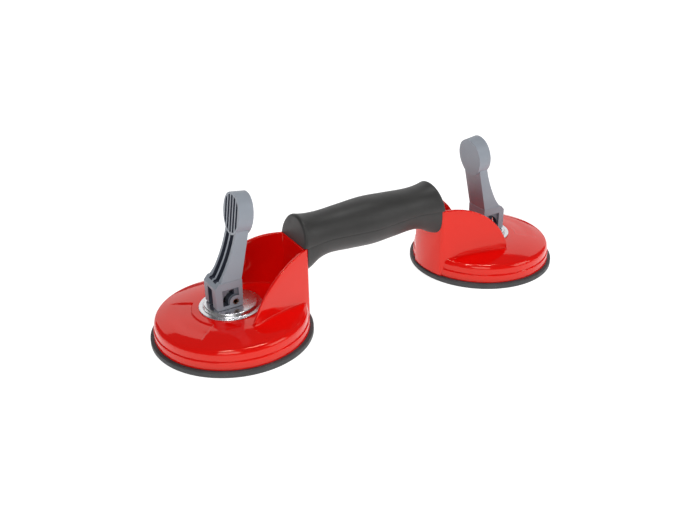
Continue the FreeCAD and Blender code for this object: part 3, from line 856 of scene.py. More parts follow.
    def stations(self) -> list[tuple[Vector, Vector, Vector, Vector]]:
        """Stations round one half of the shroud: outer point, its outward way, inner point, its way.

        Returns:
            The stations from the wing's tip to the middle of the back wall.
        """
        tip, corner = Vector((self.tip[0], -self.tip[1])), Vector((self.corner[0], -self.corner[1]))
        along = (corner - tip).normalized()
        out = Vector((along.y, -along.x))
        inner_tip = tip - out * self.wing
        reach = (self.back_inner - inner_tip.x) / along.x
        inner_corner = inner_tip + along * reach
        half = self.wing / 2
        middle = tip - out * half + along * half
        found = []
        for step in range(7):
            angle = QUARTER * step / 7
            outward = -along * math.cos(angle) + out * math.sin(angle)
            inward = -along * math.cos(angle) - out * math.sin(angle)
            found.append((middle + outward * half, outward, middle + inward * half, inward))
        outer_end = corner - along * self.corner_round * self.corner_share
        count = self.wall_columns[0]
        for step in range(count + 1):
            share = step / count
            outer = (tip + along * half).lerp(outer_end, share)
            inner = (inner_tip + along * half).lerp(inner_corner, share)
            found.append((outer, out, inner, -out))
        turn_to = math.atan2(-self.corner[1] + self.back_turn, self.corner[0])
        finish = Vector((math.cos(turn_to), math.sin(turn_to))) * (self.back + self.back_proud)
        away = finish.normalized()
        miter = (Vector((-1, 0)) - out).normalized() * self.miter
        bend = 8
        for step in range(1, bend + 1):
            t = step / bend
            curve = outer_end * (1 - t) ** 2 + corner * 2 * t * (1 - t) + finish * t ** 2
            found.append((curve, out.lerp(away, t).normalized(), inner_corner, miter))
        count = self.wall_columns[1]
        for step in range(1, count + 1):
            angle = turn_to * (1 - step / count)
            outward = Vector((math.cos(angle), math.sin(angle)))
            inner = Vector((self.back_inner, inner_corner.y * (1 - step / count)))
            found.append((outward * (self.back + self.back_proud), outward, inner, Vector((-1, 0))))
        return found

    def shroud_ring(self, station: tuple[Vector, Vector, Vector, Vector]) -> list[Point]:
        """Closed upright section of the shroud at one station.

        Args:
            station: Outer point, its outward way, inner point and its way.

        Returns:
            The section's points, the last one the same as the first.
        """
        outer, out, inner, into = station
        ring: list[Point] = []
        width = (outer - inner).length
        edge = min(self.edge, 0.45 * width)

        def base(place: Vector) -> float:
            """Height of the dome under a place on the plan."""
            return self.height(place.length)

        def flank(foot: Vector, way: Vector) -> list[Point]:
            """Fillet up from the dome and the wall above it, ending below the top edge.

            Args:
                foot: Where the wall stands, on the plan.
                way: The way from the wall to the open dome.

            Returns:
                The points from the dome upwards.
            """
            ground, peak = base(foot), self.brow(foot)
            spread = min(self.foot, 0.7 * max(0.0, peak - ground - edge))
            spread *= Path.ease((self.rim[0] - foot.length) / (3 * MM))
            points = []
            sink = 0.5 * MM if spread > 0 else 0
            low = foot + way * spread
            points.append((low.x, low.y, base(low) - sink))
            for step in range(7):
                turn = QUARTER * step / 6
                spot = foot + way * spread * (1 - math.sin(turn))
                points.append((spot.x, spot.y, base(spot) + spread * (1 - math.cos(turn))))
            rise = points[-1][2]
            for step in range(1, 5):
                points.append((foot.x, foot.y, rise + (peak - edge - rise) * step / 4))
            return points

        span = (inner - outer).normalized() if width > MERGE else -out
        ring += flank(outer, out)
        for step in range(1, 6):
            turn = QUARTER * step / 5
            spot = outer + span * edge * (1 - math.cos(turn))
            ring.append((spot.x, spot.y, self.brow(outer) - edge * (1 - math.sin(turn))))
        for step in range(0, 5):
            turn = QUARTER * step / 5
            spot = inner - span * edge * (1 - math.sin(turn))
            ring.append((spot.x, spot.y, self.brow(inner) - edge * (1 - math.cos(turn))))
        ring += reversed(flank(inner, into))
        ring.append(ring[0])
        return ring

    def shroud(self) -> bpy.types.Object:
        """Two wings and the back wall, one skin from tip to tip.

        Returns:
            The shroud as one piece.
        """
        half = self.stations()
        flip = Matrix(((1, 0), (0, -1)))
        other = [tuple(flip @ vector for vector in station) for station in reversed(half[:-1])]
        rings = [self.shroud_ring(station) for station in half + other]
        piece = Bench.loft("housing_shroud", rings, caps=True)
        return piece

    def tongue_bar(self) -> bpy.types.Object:
        """Flat tongue that the core bar is bolted on.

        Returns:
            The tongue, drilled for its screws.
        """
        end, half, low, high = self.tongue
        start = self.back - 2 * MM
        piece = Bench.slab("housing_tongue", [(start, low), (end, low), (end, high), (start, high)],
                           -half, half)
        for place in self.screws:
            drill = Bench.turned("drill", [(0, low - MM), (self.screw_hole, low - MM),
                                           (self.screw_hole, high + MM), (0, high + MM)],
                                 32, closed=False, centre=(place, 0, 0))
            Bench.cut(piece, drill)
        return piece

    def build(self, heads: Sequence[Placing]) -> None:
        """Model the housing once and put a copy on each head.

        Args:
            heads: Where the two heads stand.
        """
        piece = self.dome()
        Bench.smooth(piece, 40)
        shroud, tongue = self.shroud(), self.tongue_bar()
        Bench.smooth(shroud, 40)
        Bench.round_edges(tongue, 0.5 * MM)
        Bench.join(piece, (shroud, tongue))
        Bench.paint(piece, Finishes.RED_PAINT.material())
        for head in heads:
            name = f"{head.side.label}_head_housing"
            made = head.copy(piece, name)
            register(made, Body.FRAME.on(head.side), "red_paint", f"{head.side.label}_housing")
        bpy.data.objects.remove(piece)


@dataclass
class RubberPad:
    """Suction pad: a sealing ring that stays with the housing, and a middle that the stud lifts on the
    real lifter but that is left untied to any body.
    """

    radius: float = 60.4 * MM
    thick: float = 4.6 * MM
    bevel: float = 0.8 * MM
    seal: float = 46.0 * MM
    split: float = 44.5 * MM
    bonded: float = 36.0 * MM
    rise: float = 2.0 * MM
    pocket: float = 9.5 * MM
    pocket_depth: float = 1.0 * MM
    ribs: tuple[float, ...] = (48.5 * MM, 52.0 * MM, 55.5 * MM)
    rib: float = 0.5 * MM
    bend: Pair = (0.4 * MM, 2.0 * MM)

    def seal_ring(self) -> bpy.types.Object:
        """Outer ring with a bevelled lip and shallow sealing grooves underneath.

        Returns:
            The ring about the origin.
        """
        corners: list[Point] = [(self.split, 0.45 * MM, 0), (self.seal, 0, 0)]
        for place in self.ribs:
            corners += [(place - self.rib, 0, 0), (place, self.rib, 0.2 * MM), (place + self.rib, 0, 0)]
        corners += [(self.radius, 0, self.bevel), (self.radius, self.thick, 1.1 * MM),
                    (self.rim_seat, self.thick, 0), (self.split, self.thick - 0.6 * MM, 0.3 * MM),
                    (self.split, self.thick - 2 * MM, 0)]
        return Bench.turned("seal_ring", Path.rounded(corners, closed=True, steps=5), 192)

    @property
    def rim_seat(self) -> float:
        """Radius at which the housing's rim begins on the pad."""
        return self.radius - 4.0 * MM

    def middle(self) -> bpy.types.Object:
        """Flexible middle, thin where it meets the ring and thick under the plate.

        Returns:
            The middle about the origin.
        """
        count = 14
        under = [(self.seal - (self.seal - self.bonded) * step / count,
                  self.rise * Path.ease(step / count)) for step in range(count + 1)]
        seat = self.thick - self.pocket_depth
        over = [(self.bonded + (self.seal - self.bonded) * step / count,
                 self.thick - (self.thick - 0.6 * MM) * Path.ease(step / count))
                for step in range(count + 1)]
        path = [(0, self.rise)] + list(reversed(under)) + list(reversed(over))
        path += [(self.pocket, self.thick), (self.pocket, seat), (0, seat)]
        return Bench.turned("pad_middle", path, 144, closed=False)

    def build(self, heads: Sequence[Placing]) -> None:
        """Model both pieces once and put copies on each head.

        Args:
            heads: Where the two heads stand.
        """
        ring, middle = self.seal_ring(), self.middle()
        for piece in (ring, middle):
            Bench.smooth(piece, 35)
            Bench.paint(piece, Finishes.PAD_RUBBER.material())
        for head in heads:
            node = f"{head.side.label}_suction_pad"
            register(head.copy(ring, f"{head.side.label}_pad_seal_ring"), Body.FRAME.on(head.side),
                     "pad_rubber", node)
            flexible = head.copy(middle, f"{head.side.label}_pad_middle")
            Body.FRAME.on(head.side)
            Body.STUD.on(head.side)
            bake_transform(flexible)
            register(flexible, None, "pad_rubber", node)
        for piece in (ring, middle):
            bpy.data.objects.remove(piece)


@dataclass
class CoverWasher:
    """Bright pressed washer with a raised middle under the lever."""

    radius: float = 23.5 * MM
    seat: float = 23.5 * MM
    sheet: float = 1.0 * MM
    plateau: float = 19.8 * MM
    top: float = 27.0 * MM
    hole: float = 4.5 * MM

    def build(self, heads: Sequence[Placing]) -> None:
        """Turn the washer once and put a copy on each head.

        Args:
            heads: Where the two heads stand.
        """
        flange = self.seat + self.sheet
        corners = [(self.hole, self.top - self.sheet, 0), (self.hole, self.top, 0.3 * MM),
                   (self.plateau - 0.3 * MM, self.top, 1.3 * MM),
                   (self.plateau + 0.7 * MM, flange + 0.05 * MM, 0.8 * MM),
                   (self.radius, flange, 0.55 * MM), (self.radius, self.seat, 0.3 * MM),
                   (self.plateau - 0.3 * MM, self.seat, 0),
                   (self.plateau - 1.3 * MM, self.top - self.sheet, 0)]
        piece = Bench.turned("cover_washer", Path.rounded(corners, closed=True, steps=8), 160)
        Bench.smooth(piece, 35)
        Bench.paint(piece, Finishes.CHROME.material())
        for head in heads:
            made = head.copy(piece, f"{head.side.label}_bright_washer")
            register(made, Body.FRAME.on(head.side), "chrome_plate", f"{head.side.label}_cover_washer")
        bpy.data.objects.remove(piece)


@dataclass
class HandLever:
    """Moulded lever: slotted foot, ribbed neck and oval thumb pad, with its pivot pin."""

    pin: float = 31.5 * MM
    half: float = 10.3 * MM
    front: float = 15.2 * MM
    back: float = 5.4 * MM
    bottom: float = 27.3 * MM
    top: float = 48.6 * MM
    lean: float = 0.6 * MM
    neck_half: Pair = (8.5 * MM, 10.1 * MM)
    neck_low: Pair = (-11.4 * MM, 47.0 * MM)
    flare: float = 55.0 * MM
    neck_high: Pair = (4.7 * MM, 84.4 * MM)
    neck_back: Pair = (13.0 * MM, 81.0 * MM)
    neck_curve: float = 110.0 * MM
    channel: Pair = (1.1 * MM, 5.9 * MM)
    channel_depth: float = 4.0 * MM
    channel_span: Pair = (47.4 * MM, 92.0 * MM)
    slot: tuple[float, float, float] = (3.9 * MM, 4.5 * MM, 42.6 * MM)
    pocket: tuple[float, float, float, float] = (-10.0 * MM, 2.7 * MM, 30.0 * MM, 42.6 * MM)
    pocket_depth: float = 1.7 * MM
    boss: float = 5.0 * MM
    window: Pair = (5.6 * MM, 9.8 * MM)
    window_ends: Pair = (0.3 * MM, 1.6 * MM)
    pin_hole: float = 2.5 * MM
    thumb_centre: Pair = (5.7 * MM, 95.2 * MM)
    thumb_tilt: float = math.radians(8)
    thumb_thick: float = 11.2 * MM
    thumb_upper: tuple[float, float, float] = (10.6 * MM, 9.3 * MM, 11.7 * MM)
    thumb_lower: tuple[float, float, float] = (7.5 * MM, -11.8 * MM, 10.2 * MM)
    thumb_side: float = 19.2 * MM
    thumb_wide: float = 1.06
    inset: float = 0.89
    groove: tuple[int, float, float, float] = (5, 4.35 * MM, 2.6 * MM, 1.5 * MM)

    def foot(self) -> bpy.types.Object:
        """Foot with its slot, side pockets and windows.

        Returns:
            The foot.
        """
        outline = Path.rounded([
            (-self.front, self.bottom, 1.5 * MM), (self.back, self.bottom, 0.8 * MM),
            (self.back + self.lean, self.top, 0.8 * MM), (-self.front + 3.4 * MM, self.top, 1.5 * MM),
            (-self.front, self.top - 3.8 * MM, 1.5 * MM)], closed=True, steps=5)
        return Bench.slab("lever_foot", outline, -self.half, self.half)

    def neck(self) -> bpy.types.Object:
        """Neck with a hollow outer face and leaning sides, tapering up to the thumb pad.

        Returns:
            The neck.
        """
        rings = []
        front, back = self.neck_half
        low, high = self.neck_low[1], self.neck_back[1]
        for x, z in Path.arc(self.neck_high, self.neck_low, -self.neck_curve, 24):
            behind = self.back + (self.neck_back[0] - self.back) * (z - low) / (high - low)
            wide = front + (back - front) * Path.ease((self.flare - z) / (self.flare - low))
            rings.append([(x, -wide, z), (x, wide, z), (behind, back, z), (behind, -back, z),
                          (x, -wide, z)])
        return Bench.loft("lever_neck", rings, caps=True)

    def thumb_outline(self, scale: float = 1.0) -> list[Pair]:
        """Oval of the thumb pad as (across, up) pairs about its centre.

        Args:
            scale: Size against the full oval.

        Returns:
            The oval's points.
        """
        a, b, upper = self.thumb_upper
        c, d, lower = self.thumb_lower
        oval = (Path.arc((a, b), (-a, b), upper, 28) + Path.arc((-a, b), (-c, d), self.thumb_side, 12)
                + Path.arc((-c, d), (c, d), lower, 20) + Path.arc((c, d), (a, b), self.thumb_side, 12))
        return [(x * scale * self.thumb_wide, z * scale) for x, z in oval]

    def stand(self, piece: bpy.types.Object) -> None:
        """Put a piece drawn flat at the origin onto the thumb pad's place and tilt.

        Args:
            piece: The flat piece.
        """
        turn = Matrix.Rotation(self.thumb_tilt, 4, "Y")
        x, z = self.thumb_centre
        piece.data.transform(Matrix.Translation((x, 0, z)) @ turn)

    def oval(self, name: str, scale: float, low: float, high: float) -> bpy.types.Object:
        """A prism on the thumb pad's oval, standing between two depths behind its outer face.

        Args:
            name: Name of the piece.
            scale: Size against the full oval.
            low: Depth of its near end.
            high: Depth of its far end.

        Returns:
            The prism.
        """
        piece = Bench.slab(name, self.thumb_outline(scale), low, high)
        piece.data.transform(Matrix(((0, 1, 0, 0), (1, 0, 0, 0), (0, 0, 1, 0), (0, 0, 0, 1))))
        Bench.weld(piece)
        return piece

    def thumb(self) -> bpy.types.Object:
        """Thumb pad, a thick oval.

        Returns:
            The thumb pad.
        """
        piece = self.oval("lever_thumb", 1.0, 0, self.thumb_thick)
        self.stand(piece)
        return piece

    def grooves(self) -> list[bpy.types.Object]:
        """Cutting tools for the thumb pad's upright grooves, which end on a smaller oval.

        Returns:
            One tool for each groove.
        """
        count, pitch, width, depth = self.groove
        tools = []
        for index in range(count):
            across = (index - (count - 1) / 2) * pitch
            reach = 2 * self.thumb_side
            tool = Bench.slab("groove", [(-MM, -reach), (depth, -reach), (depth, reach), (-MM, reach)],
                              across - width / 2, across + width / 2)
            Bench.combine(tool, self.oval("groove_end", self.inset, -2 * MM, 2 * depth), "INTERSECT")
            self.stand(tool)
            tools.append(tool)
        return tools

    def channels(self) -> list[bpy.types.Object]:
        """Cutting tools for the two long channels down the neck.

        Returns:
            One tool for each channel.
        """
        low, high = self.channel_span
        shift = self.channel_depth
        curve = Path.arc((self.neck_high[0] + shift, self.neck_high[1]),
                         (self.neck_low[0] + shift, self.neck_low[1]), -self.neck_curve, 24)
        kept = [(x, z) for x, z in curve if low < z < high]
        outline = kept + [(kept[-1][0], low), (-self.front, low), (-self.front, high),
                          (kept[0][0], high)]
        near, far = self.channel
        return [Bench.slab("channel", outline, min(sign * near, sign * far),
                           max(sign * near, sign * far)) for sign in (-1, 1)]

    def side_pocket(self, sign: int) -> bpy.types.Object:
        """Cutting tool for the pocket around the pin's boss on one side.

        Args:
            sign: Side of the foot, 1 or -1.

        Returns:
            The cutting tool.
        """
        left, right, low, high = self.pocket
        drop = self.pin - low
        start = (-math.sqrt(self.boss ** 2 - drop ** 2), low)
        finish = (right, self.pin + math.sqrt(self.boss ** 2 - right ** 2))
        outline = [(left, high), (left, low)] + Path.arc(start, finish, -self.boss, 12)
        outline += [finish, (right, high)]
        near, far = self.half - self.pocket_depth, self.half + MM
        return Bench.slab("side_pocket", outline, *sorted((sign * near, sign * far)))

    def window_tool(self) -> bpy.types.Object:
        """Cutting tool for the quarter-ring window right through the foot.

        Returns:
            The cutting tool.
        """
        inner, outer = self.window
        side, ledge = self.window_ends
        outline = (Path.arc((-side, self.pin + outer), (-outer, self.pin - side), outer, 14)
                   + [(-outer, self.pin - ledge), (-inner, self.pin - ledge)]
                   + Path.arc((-inner, self.pin - side), (-side, self.pin + inner), -inner, 12)
                   + [(-side, self.pin + inner)])
        return Bench.slab("window", outline, -2 * self.half, 2 * self.half)

    def body(self) -> bpy.types.Object:
        """The whole moulding, cut and with its edges rounded.

        Returns:
            The lever about its pivot.
        """
        # The recess finish is painted shade for the faces that the channels, slot, window and grooves
        # cut.
        plastic, recess_shade = Finishes.LEVER_PLASTIC.material(), Finishes.LEVER_RECESS.material()
        piece, neck, thumb = self.foot(), self.neck(), self.thumb()
        for part in (piece, neck, thumb):
            Bench.paint(part, plastic)
        for part in (piece, neck):
            for tool in self.channels():
                Bench.paint(tool, recess_shade)
                Bench.cut(part, tool)
        Bench.combine(piece, neck, "UNION")
        Bench.combine(piece, thumb, "UNION")
        slot_half, slot_back, slot_top = self.slot
        slot = Bench.slab("slot", [(-2 * self.front, 0), (slot_back, 0), (slot_back, slot_top),
                                   (-2 * self.front, slot_top)], -slot_half, slot_half)
        bore = Bench.turned("bore", [(0, -2 * self.half), (self.pin_hole, -2 * self.half),
                                     (self.pin_hole, 2 * self.half), (0, 2 * self.half)], 32,
                            closed=False, axis=(0, 1, 0), centre=(0, 0, self.pin))
        shaded = [self.side_pocket(1), self.side_pocket(-1)]
        # Slot, window and thumb grooves get the recess finish's painted shade on their cut faces.
        painted_shade_tools = [slot, self.window_tool(), *self.grooves()]
        # pocket holds the painted shade of the side pockets.
        pocket = Finishes.LEVER_POCKET.material()
        for tools, material in (([bore], plastic), (shaded, pocket), (painted_shade_tools, recess_shade)):
            for tool in tools:
                Bench.paint(tool, material)
                Bench.cut(piece, tool)
        Bench.round_edges(piece, 0.38 * MM, segments=2, angle=32)
        return piece

    def pivot(self) -> bpy.types.Object:
        """Hollow rolled pin with chamfered ends.

        Returns:
            The pin about the lever's pivot.
        """
        length = self.half - 0.3 * MM
        corners = [(1.5 * MM, -length, 0.2 * MM), (2.5 * MM, -length, 0.35 * MM),
                   (2.5 * MM, length, 0.35 * MM), (1.5 * MM, length, 0.2 * MM)]
        piece = Bench.turned("pivot_pin", Path.rounded(corners, closed=True, steps=4), 48,
                             axis=(0, 1, 0), centre=(0, 0, self.pin))
        Bench.smooth(piece, 35)
        Bench.paint(piece, Finishes.PIN_STEEL.material())
        return piece

    def build(self, heads: Sequence[Placing]) -> None:
        """Model the lever and its pin once and put copies on each head.

        Args:
            heads: Where the two heads stand.
        """
        patterns = ((self.body(), "hand_lever", "lever_plastic", "lever"),
                    (self.pivot(), "hollow_pin", "pin_steel", "pivot_pin"))
        for pattern, name, slot, node in patterns:
            for head in heads:
                made = head.copy(pattern, f"{head.side.label}_{name}")
                register(made, Body.LEVER.on(head.side), slot, f"{head.side.label}_{node}")
            bpy.data.objects.remove(pattern)


@dataclass
class ReturnSpring:
    """Conical spring between the pad's plate and the housing's roof."""

    wire: float = 0.7 * MM
    radii: Pair = (14.0 * MM, 11.6 * MM)
    ends: Pair = (6.85 * MM, 20.2 * MM)
    turns: float = 4.5
    lift: float = 11.2 * MM

    def build(self, heads: Sequence[Placing]) -> None:
        """Wind the spring once and put a copy on each head.

        Args:
            heads: Where the two heads stand.
        """
        count, around = int(self.turns * 28), 10
        rings = []
        for step in range(count + 1):
            share = step / count
            angle = 2 * math.pi * self.turns * share
            radius = self.radii[0] + (self.radii[1] - self.radii[0]) * share
            out = Vector((math.cos(angle), math.sin(angle), 0))
            centre = out * radius + Vector((0, 0, self.ends[0] + (self.ends[1] - self.ends[0]) * share))
            ring = []
            for part in range(around + 1):
                turn = 2 * math.pi * (part % around) / around
                ring.append(tuple(centre + self.wire * (out * math.cos(turn)
                                                        + Vector((0, 0, math.sin(turn))))))
            rings.append(ring)
        piece = Bench.loft("spring", rings, caps=True)
        Bench.smooth(piece, 50)
        Bench.paint(piece, Finishes.ZINC.material())
        for head in heads:
            made = head.copy(piece, f"{head.side.label}_coil_spring")
            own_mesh(made)
            register(made, Body.FRAME.on(head.side), "zinc_steel", f"{head.side.label}_return_spring")
        bpy.data.objects.remove(piece)


# ------------------------------------------------------------------ handle


@dataclass
class Grip:
    """Two-part handle grip: a half-round upper shell over a trough that flares at both ends."""

    end: float = 64.0 * MM
    lean: float = 3.4 * MM
    lean_from: float = 48.0 * MM
    lean_height: float = 21.0 * MM
    wall: float = 3.0 * MM
    round_end: float = 2.8 * MM
    seam: float = 0.03 * MM
    seam_edge: float = 0.35 * MM
    half: tuple[Pair, ...] = ((0.0, 19.6), (20.0, 18.2), (40.0, 16.7), (54.0, 17.8), (64.0, 19.9))
    split: tuple[Pair, ...] = ((0.0, 62.6), (20.0, 62.9), (40.0, 63.2), (52.0, 62.8), (64.0, 62.5))
    under: tuple[Pair, ...] = ((0.0, 19.6), (20.0, 18.2), (40.0, 16.7), (52.0, 17.3), (64.0, 18.5))
    drop: tuple[Pair, ...] = ((0.0, 17.8), (20.0, 17.2), (40.0, 16.2), (50.0, 17.2), (58.0, 21.0),
                              (64.0, 22.4))
    square: tuple[Pair, ...] = ((0.0, 2.1), (20.0, 2.1), (40.0, 2.3), (52.0, 3.0), (64.0, 4.4))
    lower_end: float = 61.2 * MM
    head_radius: float = 59.0 * MM
    arcs: Counts = (36, 56)
    rings: Counts = (110, 140)
    screw_pitch: float = 24.0 * MM
    post: float = 4.6 * MM
    head_hole: float = 3.5 * MM
    screw_hole: float = 1.65 * MM
    seat: float = 54.0 * MM
    post_top: float = 60.0 * MM

    @staticmethod
    def value(table: tuple[Pair, ...], along: float) -> float:
        """A size at a distance from the middle, in metres."""
        return Path.through(table, abs(along) / MM) * MM

    def tip_back(self, along: float, rise: float) -> float:
        """How far the leaning ends move a point of the upper shell towards the middle."""
        share = max(0.0, abs(along) - self.lean_from) / (self.end - self.lean_from)
        return math.copysign(self.lean * share * rise / self.lean_height, along)

    def upper(self) -> bpy.types.Object:
        """Half-round shell closed at both ends, with rounded end edges.

        Returns:
            The upper shell.
        """
        rings = []
        arcs, count = self.arcs[0], self.rings[0]
        body = self.end - self.round_end
        places = [(-body - self.round_end * math.cos(QUARTER * step / 8),
                   self.round_end * (1 - math.sin(QUARTER * step / 8))) for step in range(9)]
        places += [(-body + 2 * body * step / count, 0.0) for step in range(1, count)]
        places += [(-along, shrink) for along, shrink in reversed(places[:9])]
        for along, shrink in places:
            radius = self.value(self.half, along) - shrink
            low = self.value(self.split, along) + self.seam
            ring = []
            for step in range(arcs + 1):
                turn = math.pi * step / arcs
                rise = radius * math.sin(turn)
                ring.append((along - self.tip_back(along, rise), -radius * math.cos(turn), low + rise))
            rings.append(ring)
        piece = Bench.loft("upper_shell", rings)
        self.close_ends(piece)
        self.thicken(piece)
        return piece

    def close_ends(self, piece: bpy.types.Object) -> None:
        """Fill the D-shaped face at each end of the upper shell.

        Args:
            piece: The open shell.
        """
        for sign in (-1, 1):
            Bench.edit(piece)
            bpy.ops.mesh.select_all(action="DESELECT")
            Bench.done()
            floor = self.value(self.split, self.end) + self.seam
            for vertex in piece.data.vertices:
                face = sign * self.end - self.tip_back(sign * self.end, vertex.co.z - floor)
                vertex.select = abs(vertex.co.x - face) < 2 * MERGE
            bpy.ops.object.mode_set(mode="EDIT")
            bpy.ops.mesh.edge_face_add()
            Bench.done()
        Bench.weld(piece)

    def thicken(self, piece: bpy.types.Object) -> None:
        """Give a shell its wall, inwards, and break its seam edges.

        Args:
            piece: The shell as a skin.
        """
        middle = Vector((0, 0, self.value(self.split, 0)))
        top = max(piece.data.polygons, key=lambda face: (face.center - middle).yz.length)
        outward = top.normal.dot(top.center - middle) > 0
        Bench.modify(piece, "SOLIDIFY", thickness=self.wall, offset=-1 if outward else 1,
                     use_even_offset=True)
        Bench.weld(piece)
        Bench.modify(piece, "BEVEL", width=self.seam_edge, segments=2, limit_method="ANGLE",
                     angle_limit=math.radians(50), use_clamp_overlap=True)
        Bench.smooth(piece, 40)

    def lower(self, head: float) -> bpy.types.Object:
        """Trough whose ends follow the round back walls of the heads.

        Args:
            head: Distance of a head's axis from the middle.

        Returns:
            The lower shell.
        """
        rings = []
        arcs, count = self.arcs[1], self.rings[1]
        for step in range(count + 1):
            share = 2 * step / count - 1
            ring = []
            width, seam, drop = [self.value(table, share * self.lower_end)
                                 for table in (self.under, self.split, self.drop)]
            power = 2 / Path.through(self.square, abs(share) * self.lower_end / MM)
            outline = []
            for part in range(arcs + 1):
                turn = math.pi * part / arcs
                across = -math.copysign(abs(math.cos(turn)) ** power, math.cos(turn))
                outline.append((width * across, seam - self.seam - drop * math.sin(turn) ** power))
            for across, height in outline:
                reach = head - math.sqrt(self.head_radius ** 2 - across ** 2)
                ring.append((share * reach, across, height))
            rings.append(ring)
        piece = Bench.loft("lower_shell", rings)
        self.thicken(piece)
        for index in (-1, 0, 1):
            self.screw_post(piece, index * self.screw_pitch)
        Bench.smooth(piece, 40)
        return piece

    def screw_post(self, piece: bpy.types.Object, along: float) -> None:
        """Add one screw's post to the lower shell and drill it from below.

        Args:
            piece: The lower shell.
            along: Place of the post along the grip.
        """
        floor = self.value(self.split, along) - self.value(self.drop, along)
        post = Bench.turned("post", [(0, floor + MM), (self.post, floor + MM),
                                     (self.post, self.post_top), (0, self.post_top)], 40,
                            closed=False, centre=(along, 0, 0))
        Bench.combine(piece, post, "UNION")
        drill = Bench.turned("drill", [
            (0, floor - 5 * MM), (self.head_hole, floor - 5 * MM), (self.head_hole, self.seat),
            (self.screw_hole, self.seat), (self.screw_hole, self.post_top + MM),
            (0, self.post_top + MM)], 40, closed=False, centre=(along, 0, 0))
        Bench.cut(piece, drill)

    def build(self, heads: Sequence[Placing]) -> None:
        """Build both shells.

        Args:
            heads: Where the two heads stand.
        """
        upper = self.upper()
        lower = self.lower(abs(heads[0].along))
        for piece, name, node in ((upper, "grip_top_half", "grip_upper_shell"),
                                  (lower, "grip_bottom_half", "grip_lower_shell")):
            piece.name = piece.data.name = name
            Bench.paint(piece, Finishes.GRIP_PLASTIC.material())
            register(piece, Body.FRAME.value, "grip_plastic", node)


@dataclass
class KeptNodes:
    """Frame nodes whose own shape is shown, each with the finish that it gets."""

    finishes: dict[str, Finishes] = field(default_factory=lambda: {
        "pad_plate": Finishes.ZINC, "pull_stud": Finishes.ZINC, "guide_bush": Finishes.ACETAL,
        "core_bar": Finishes.ZINC, "core_screws": Finishes.ZINC, "core_nuts": Finishes.ZINC,
        "grip_screws": Finishes.ZINC})

    def dress(self, nodes: dict[str, bpy.types.Object]) -> None:
        """Put each kept node's finish in its material slots.

        Args:
            nodes: The kept nodes by name.
        """
        for name, node in nodes.items():
            for ending, finish in self.finishes.items():
                if not name.endswith(ending):
                    continue
                if not node.material_slots:
                    node.data.materials.append(finish.material())
                for slot in node.material_slots:
                    slot.material = finish.material()
                log.info("%s: kept, %s", name, finish.value.name)


# ------------------------------------------------------------------ studio


@dataclass(frozen=True)
class Lamp:
    """A soft rectangular light: its place, its width and height, its brightness and what it faces."""

    name: str
    place: Point
    size: Pair
    radiance: float
    target: Point = (0.0, 0.0, 0.05)


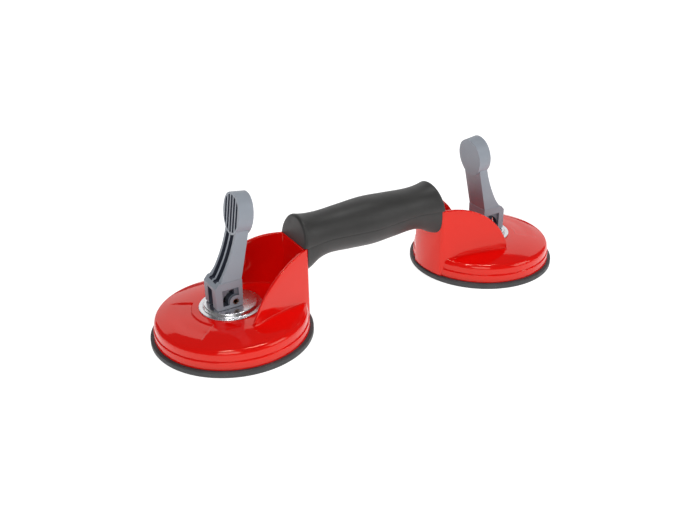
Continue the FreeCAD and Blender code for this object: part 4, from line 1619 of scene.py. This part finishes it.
@dataclass
class Studio:
    """Camera, pale floor and plain soft lights: a white backdrop, key and fill, two strips overhead."""

    azimuth: float = math.radians(-31.208)
    elevation: float = math.radians(27.348)
    roll: float = math.radians(-0.68)
    place: Point = (-0.3283, -0.5179, 0.3411)
    lens: float = 44.49
    floor_half: float = 6.0
    world: float = 0.13
    lamps: tuple[Lamp, ...] = (
        Lamp("backdrop", (1.15, 1.9, 1.35), (4.4, 2.2), 0.85, (0.115, 0.19, 1.6)),
        Lamp("key", (-1.05, -1.6, 1.35), (1.1, 1.1), 3.05),
        Lamp("fill", (1.4, -1.6, 1.2), (1.2, 1.2), 2.5),
        Lamp("strip_left", (-0.35, -0.1, 1.5), (0.07, 0.42), 38.0, (-0.1, 0.0, 0.0)),
        Lamp("strip_right", (0.3, 0.0, 1.5), (0.07, 0.42), 38.0, (0.1, 0.0, 0.0)))

    def camera(self) -> None:
        """Camera that looks down on the lifter from its left front."""
        turn, rise = self.azimuth, self.elevation
        back = Vector((math.sin(turn) * math.cos(rise), -math.cos(turn) * math.cos(rise),
                       math.sin(rise)))
        right = Vector((math.cos(turn), math.sin(turn), 0))
        up = back.cross(right)
        lean = Matrix.Rotation(self.roll, 3, "Z")
        basis = Matrix((right, up, back)).transposed() @ lean
        data = bpy.data.cameras.new("camera")
        data.lens = self.lens
        data.clip_start = 0.01
        camera = bpy.data.objects.new("camera", data)
        camera.matrix_world = Matrix.Translation(self.place) @ basis.to_4x4()
        bpy.context.scene.collection.objects.link(camera)
        bpy.context.scene.camera = camera

    def floor(self) -> None:
        """Wide pale floor under the pads."""
        Bench.clear()
        bpy.ops.mesh.primitive_plane_add(size=2 * self.floor_half)
        floor = bpy.context.object
        floor.name = "pale_floor"
        floor.data.transform(Matrix.Translation((0, 0, -0.02 * MM)))
        made = bpy.data.materials.new("pale_floor")
        made.use_nodes = True
        shader = made.node_tree.nodes["Principled BSDF"]
        shader.inputs["Base Color"].default_value = (0.5, 0.5, 0.5, 1)
        shader.inputs["Roughness"].default_value = 0.9
        shader.inputs["Specular IOR Level"].default_value = 0.1
        shader.inputs["Emission Color"].default_value = (1, 1, 1, 1)
        shader.inputs["Emission Strength"].default_value = 0.88
        Bench.paint(floor, made)

    def light(self, lamp: Lamp) -> None:
        """Hang a soft rectangular light that faces its target.

        Args:
            lamp: The light's place, size and brightness.
        """
        data = bpy.data.lights.new(lamp.name, "AREA")
        data.shape = "RECTANGLE"
        data.size, data.size_y = lamp.size
        data.energy = lamp.radiance * math.pi * lamp.size[0] * lamp.size[1]
        hung = bpy.data.objects.new(lamp.name, data)
        way = Vector(lamp.target) - Vector(lamp.place)
        turn = way.to_track_quat("-Z", "Y").to_matrix().to_4x4()
        hung.matrix_world = Matrix.Translation(lamp.place) @ turn
        bpy.context.scene.collection.objects.link(hung)

    def world_light(self) -> None:
        """Dim even surroundings."""
        world = bpy.data.worlds.new("studio")
        world.use_nodes = True
        ground = world.node_tree.nodes["Background"]
        ground.inputs["Color"].default_value = (1, 1, 1, 1)
        ground.inputs["Strength"].default_value = self.world
        bpy.context.scene.world = world
        bpy.context.scene.view_settings.view_transform = "Standard"

    def build(self) -> None:
        """Set up the whole studio."""
        self.camera()
        self.floor()
        for lamp in self.lamps:
            self.light(lamp)
        self.world_light()


def main() -> None:
    """Build the lifter's pieces in order, dress the kept nodes and set up the studio."""
    logging.basicConfig(level=logging.INFO, format="%(message)s")
    studio = Studio()
    studio.build()
    heads = [Placing.of(side) for side in Side]
    for assembly in (HeadHousing(), RubberPad(), CoverWasher(), HandLever(), ReturnSpring(), Grip()):
        assembly.build(heads)
    KeptNodes().dress(frame["nodes"])
    Bench.clear()


if __name__ == "__main__":
    main()
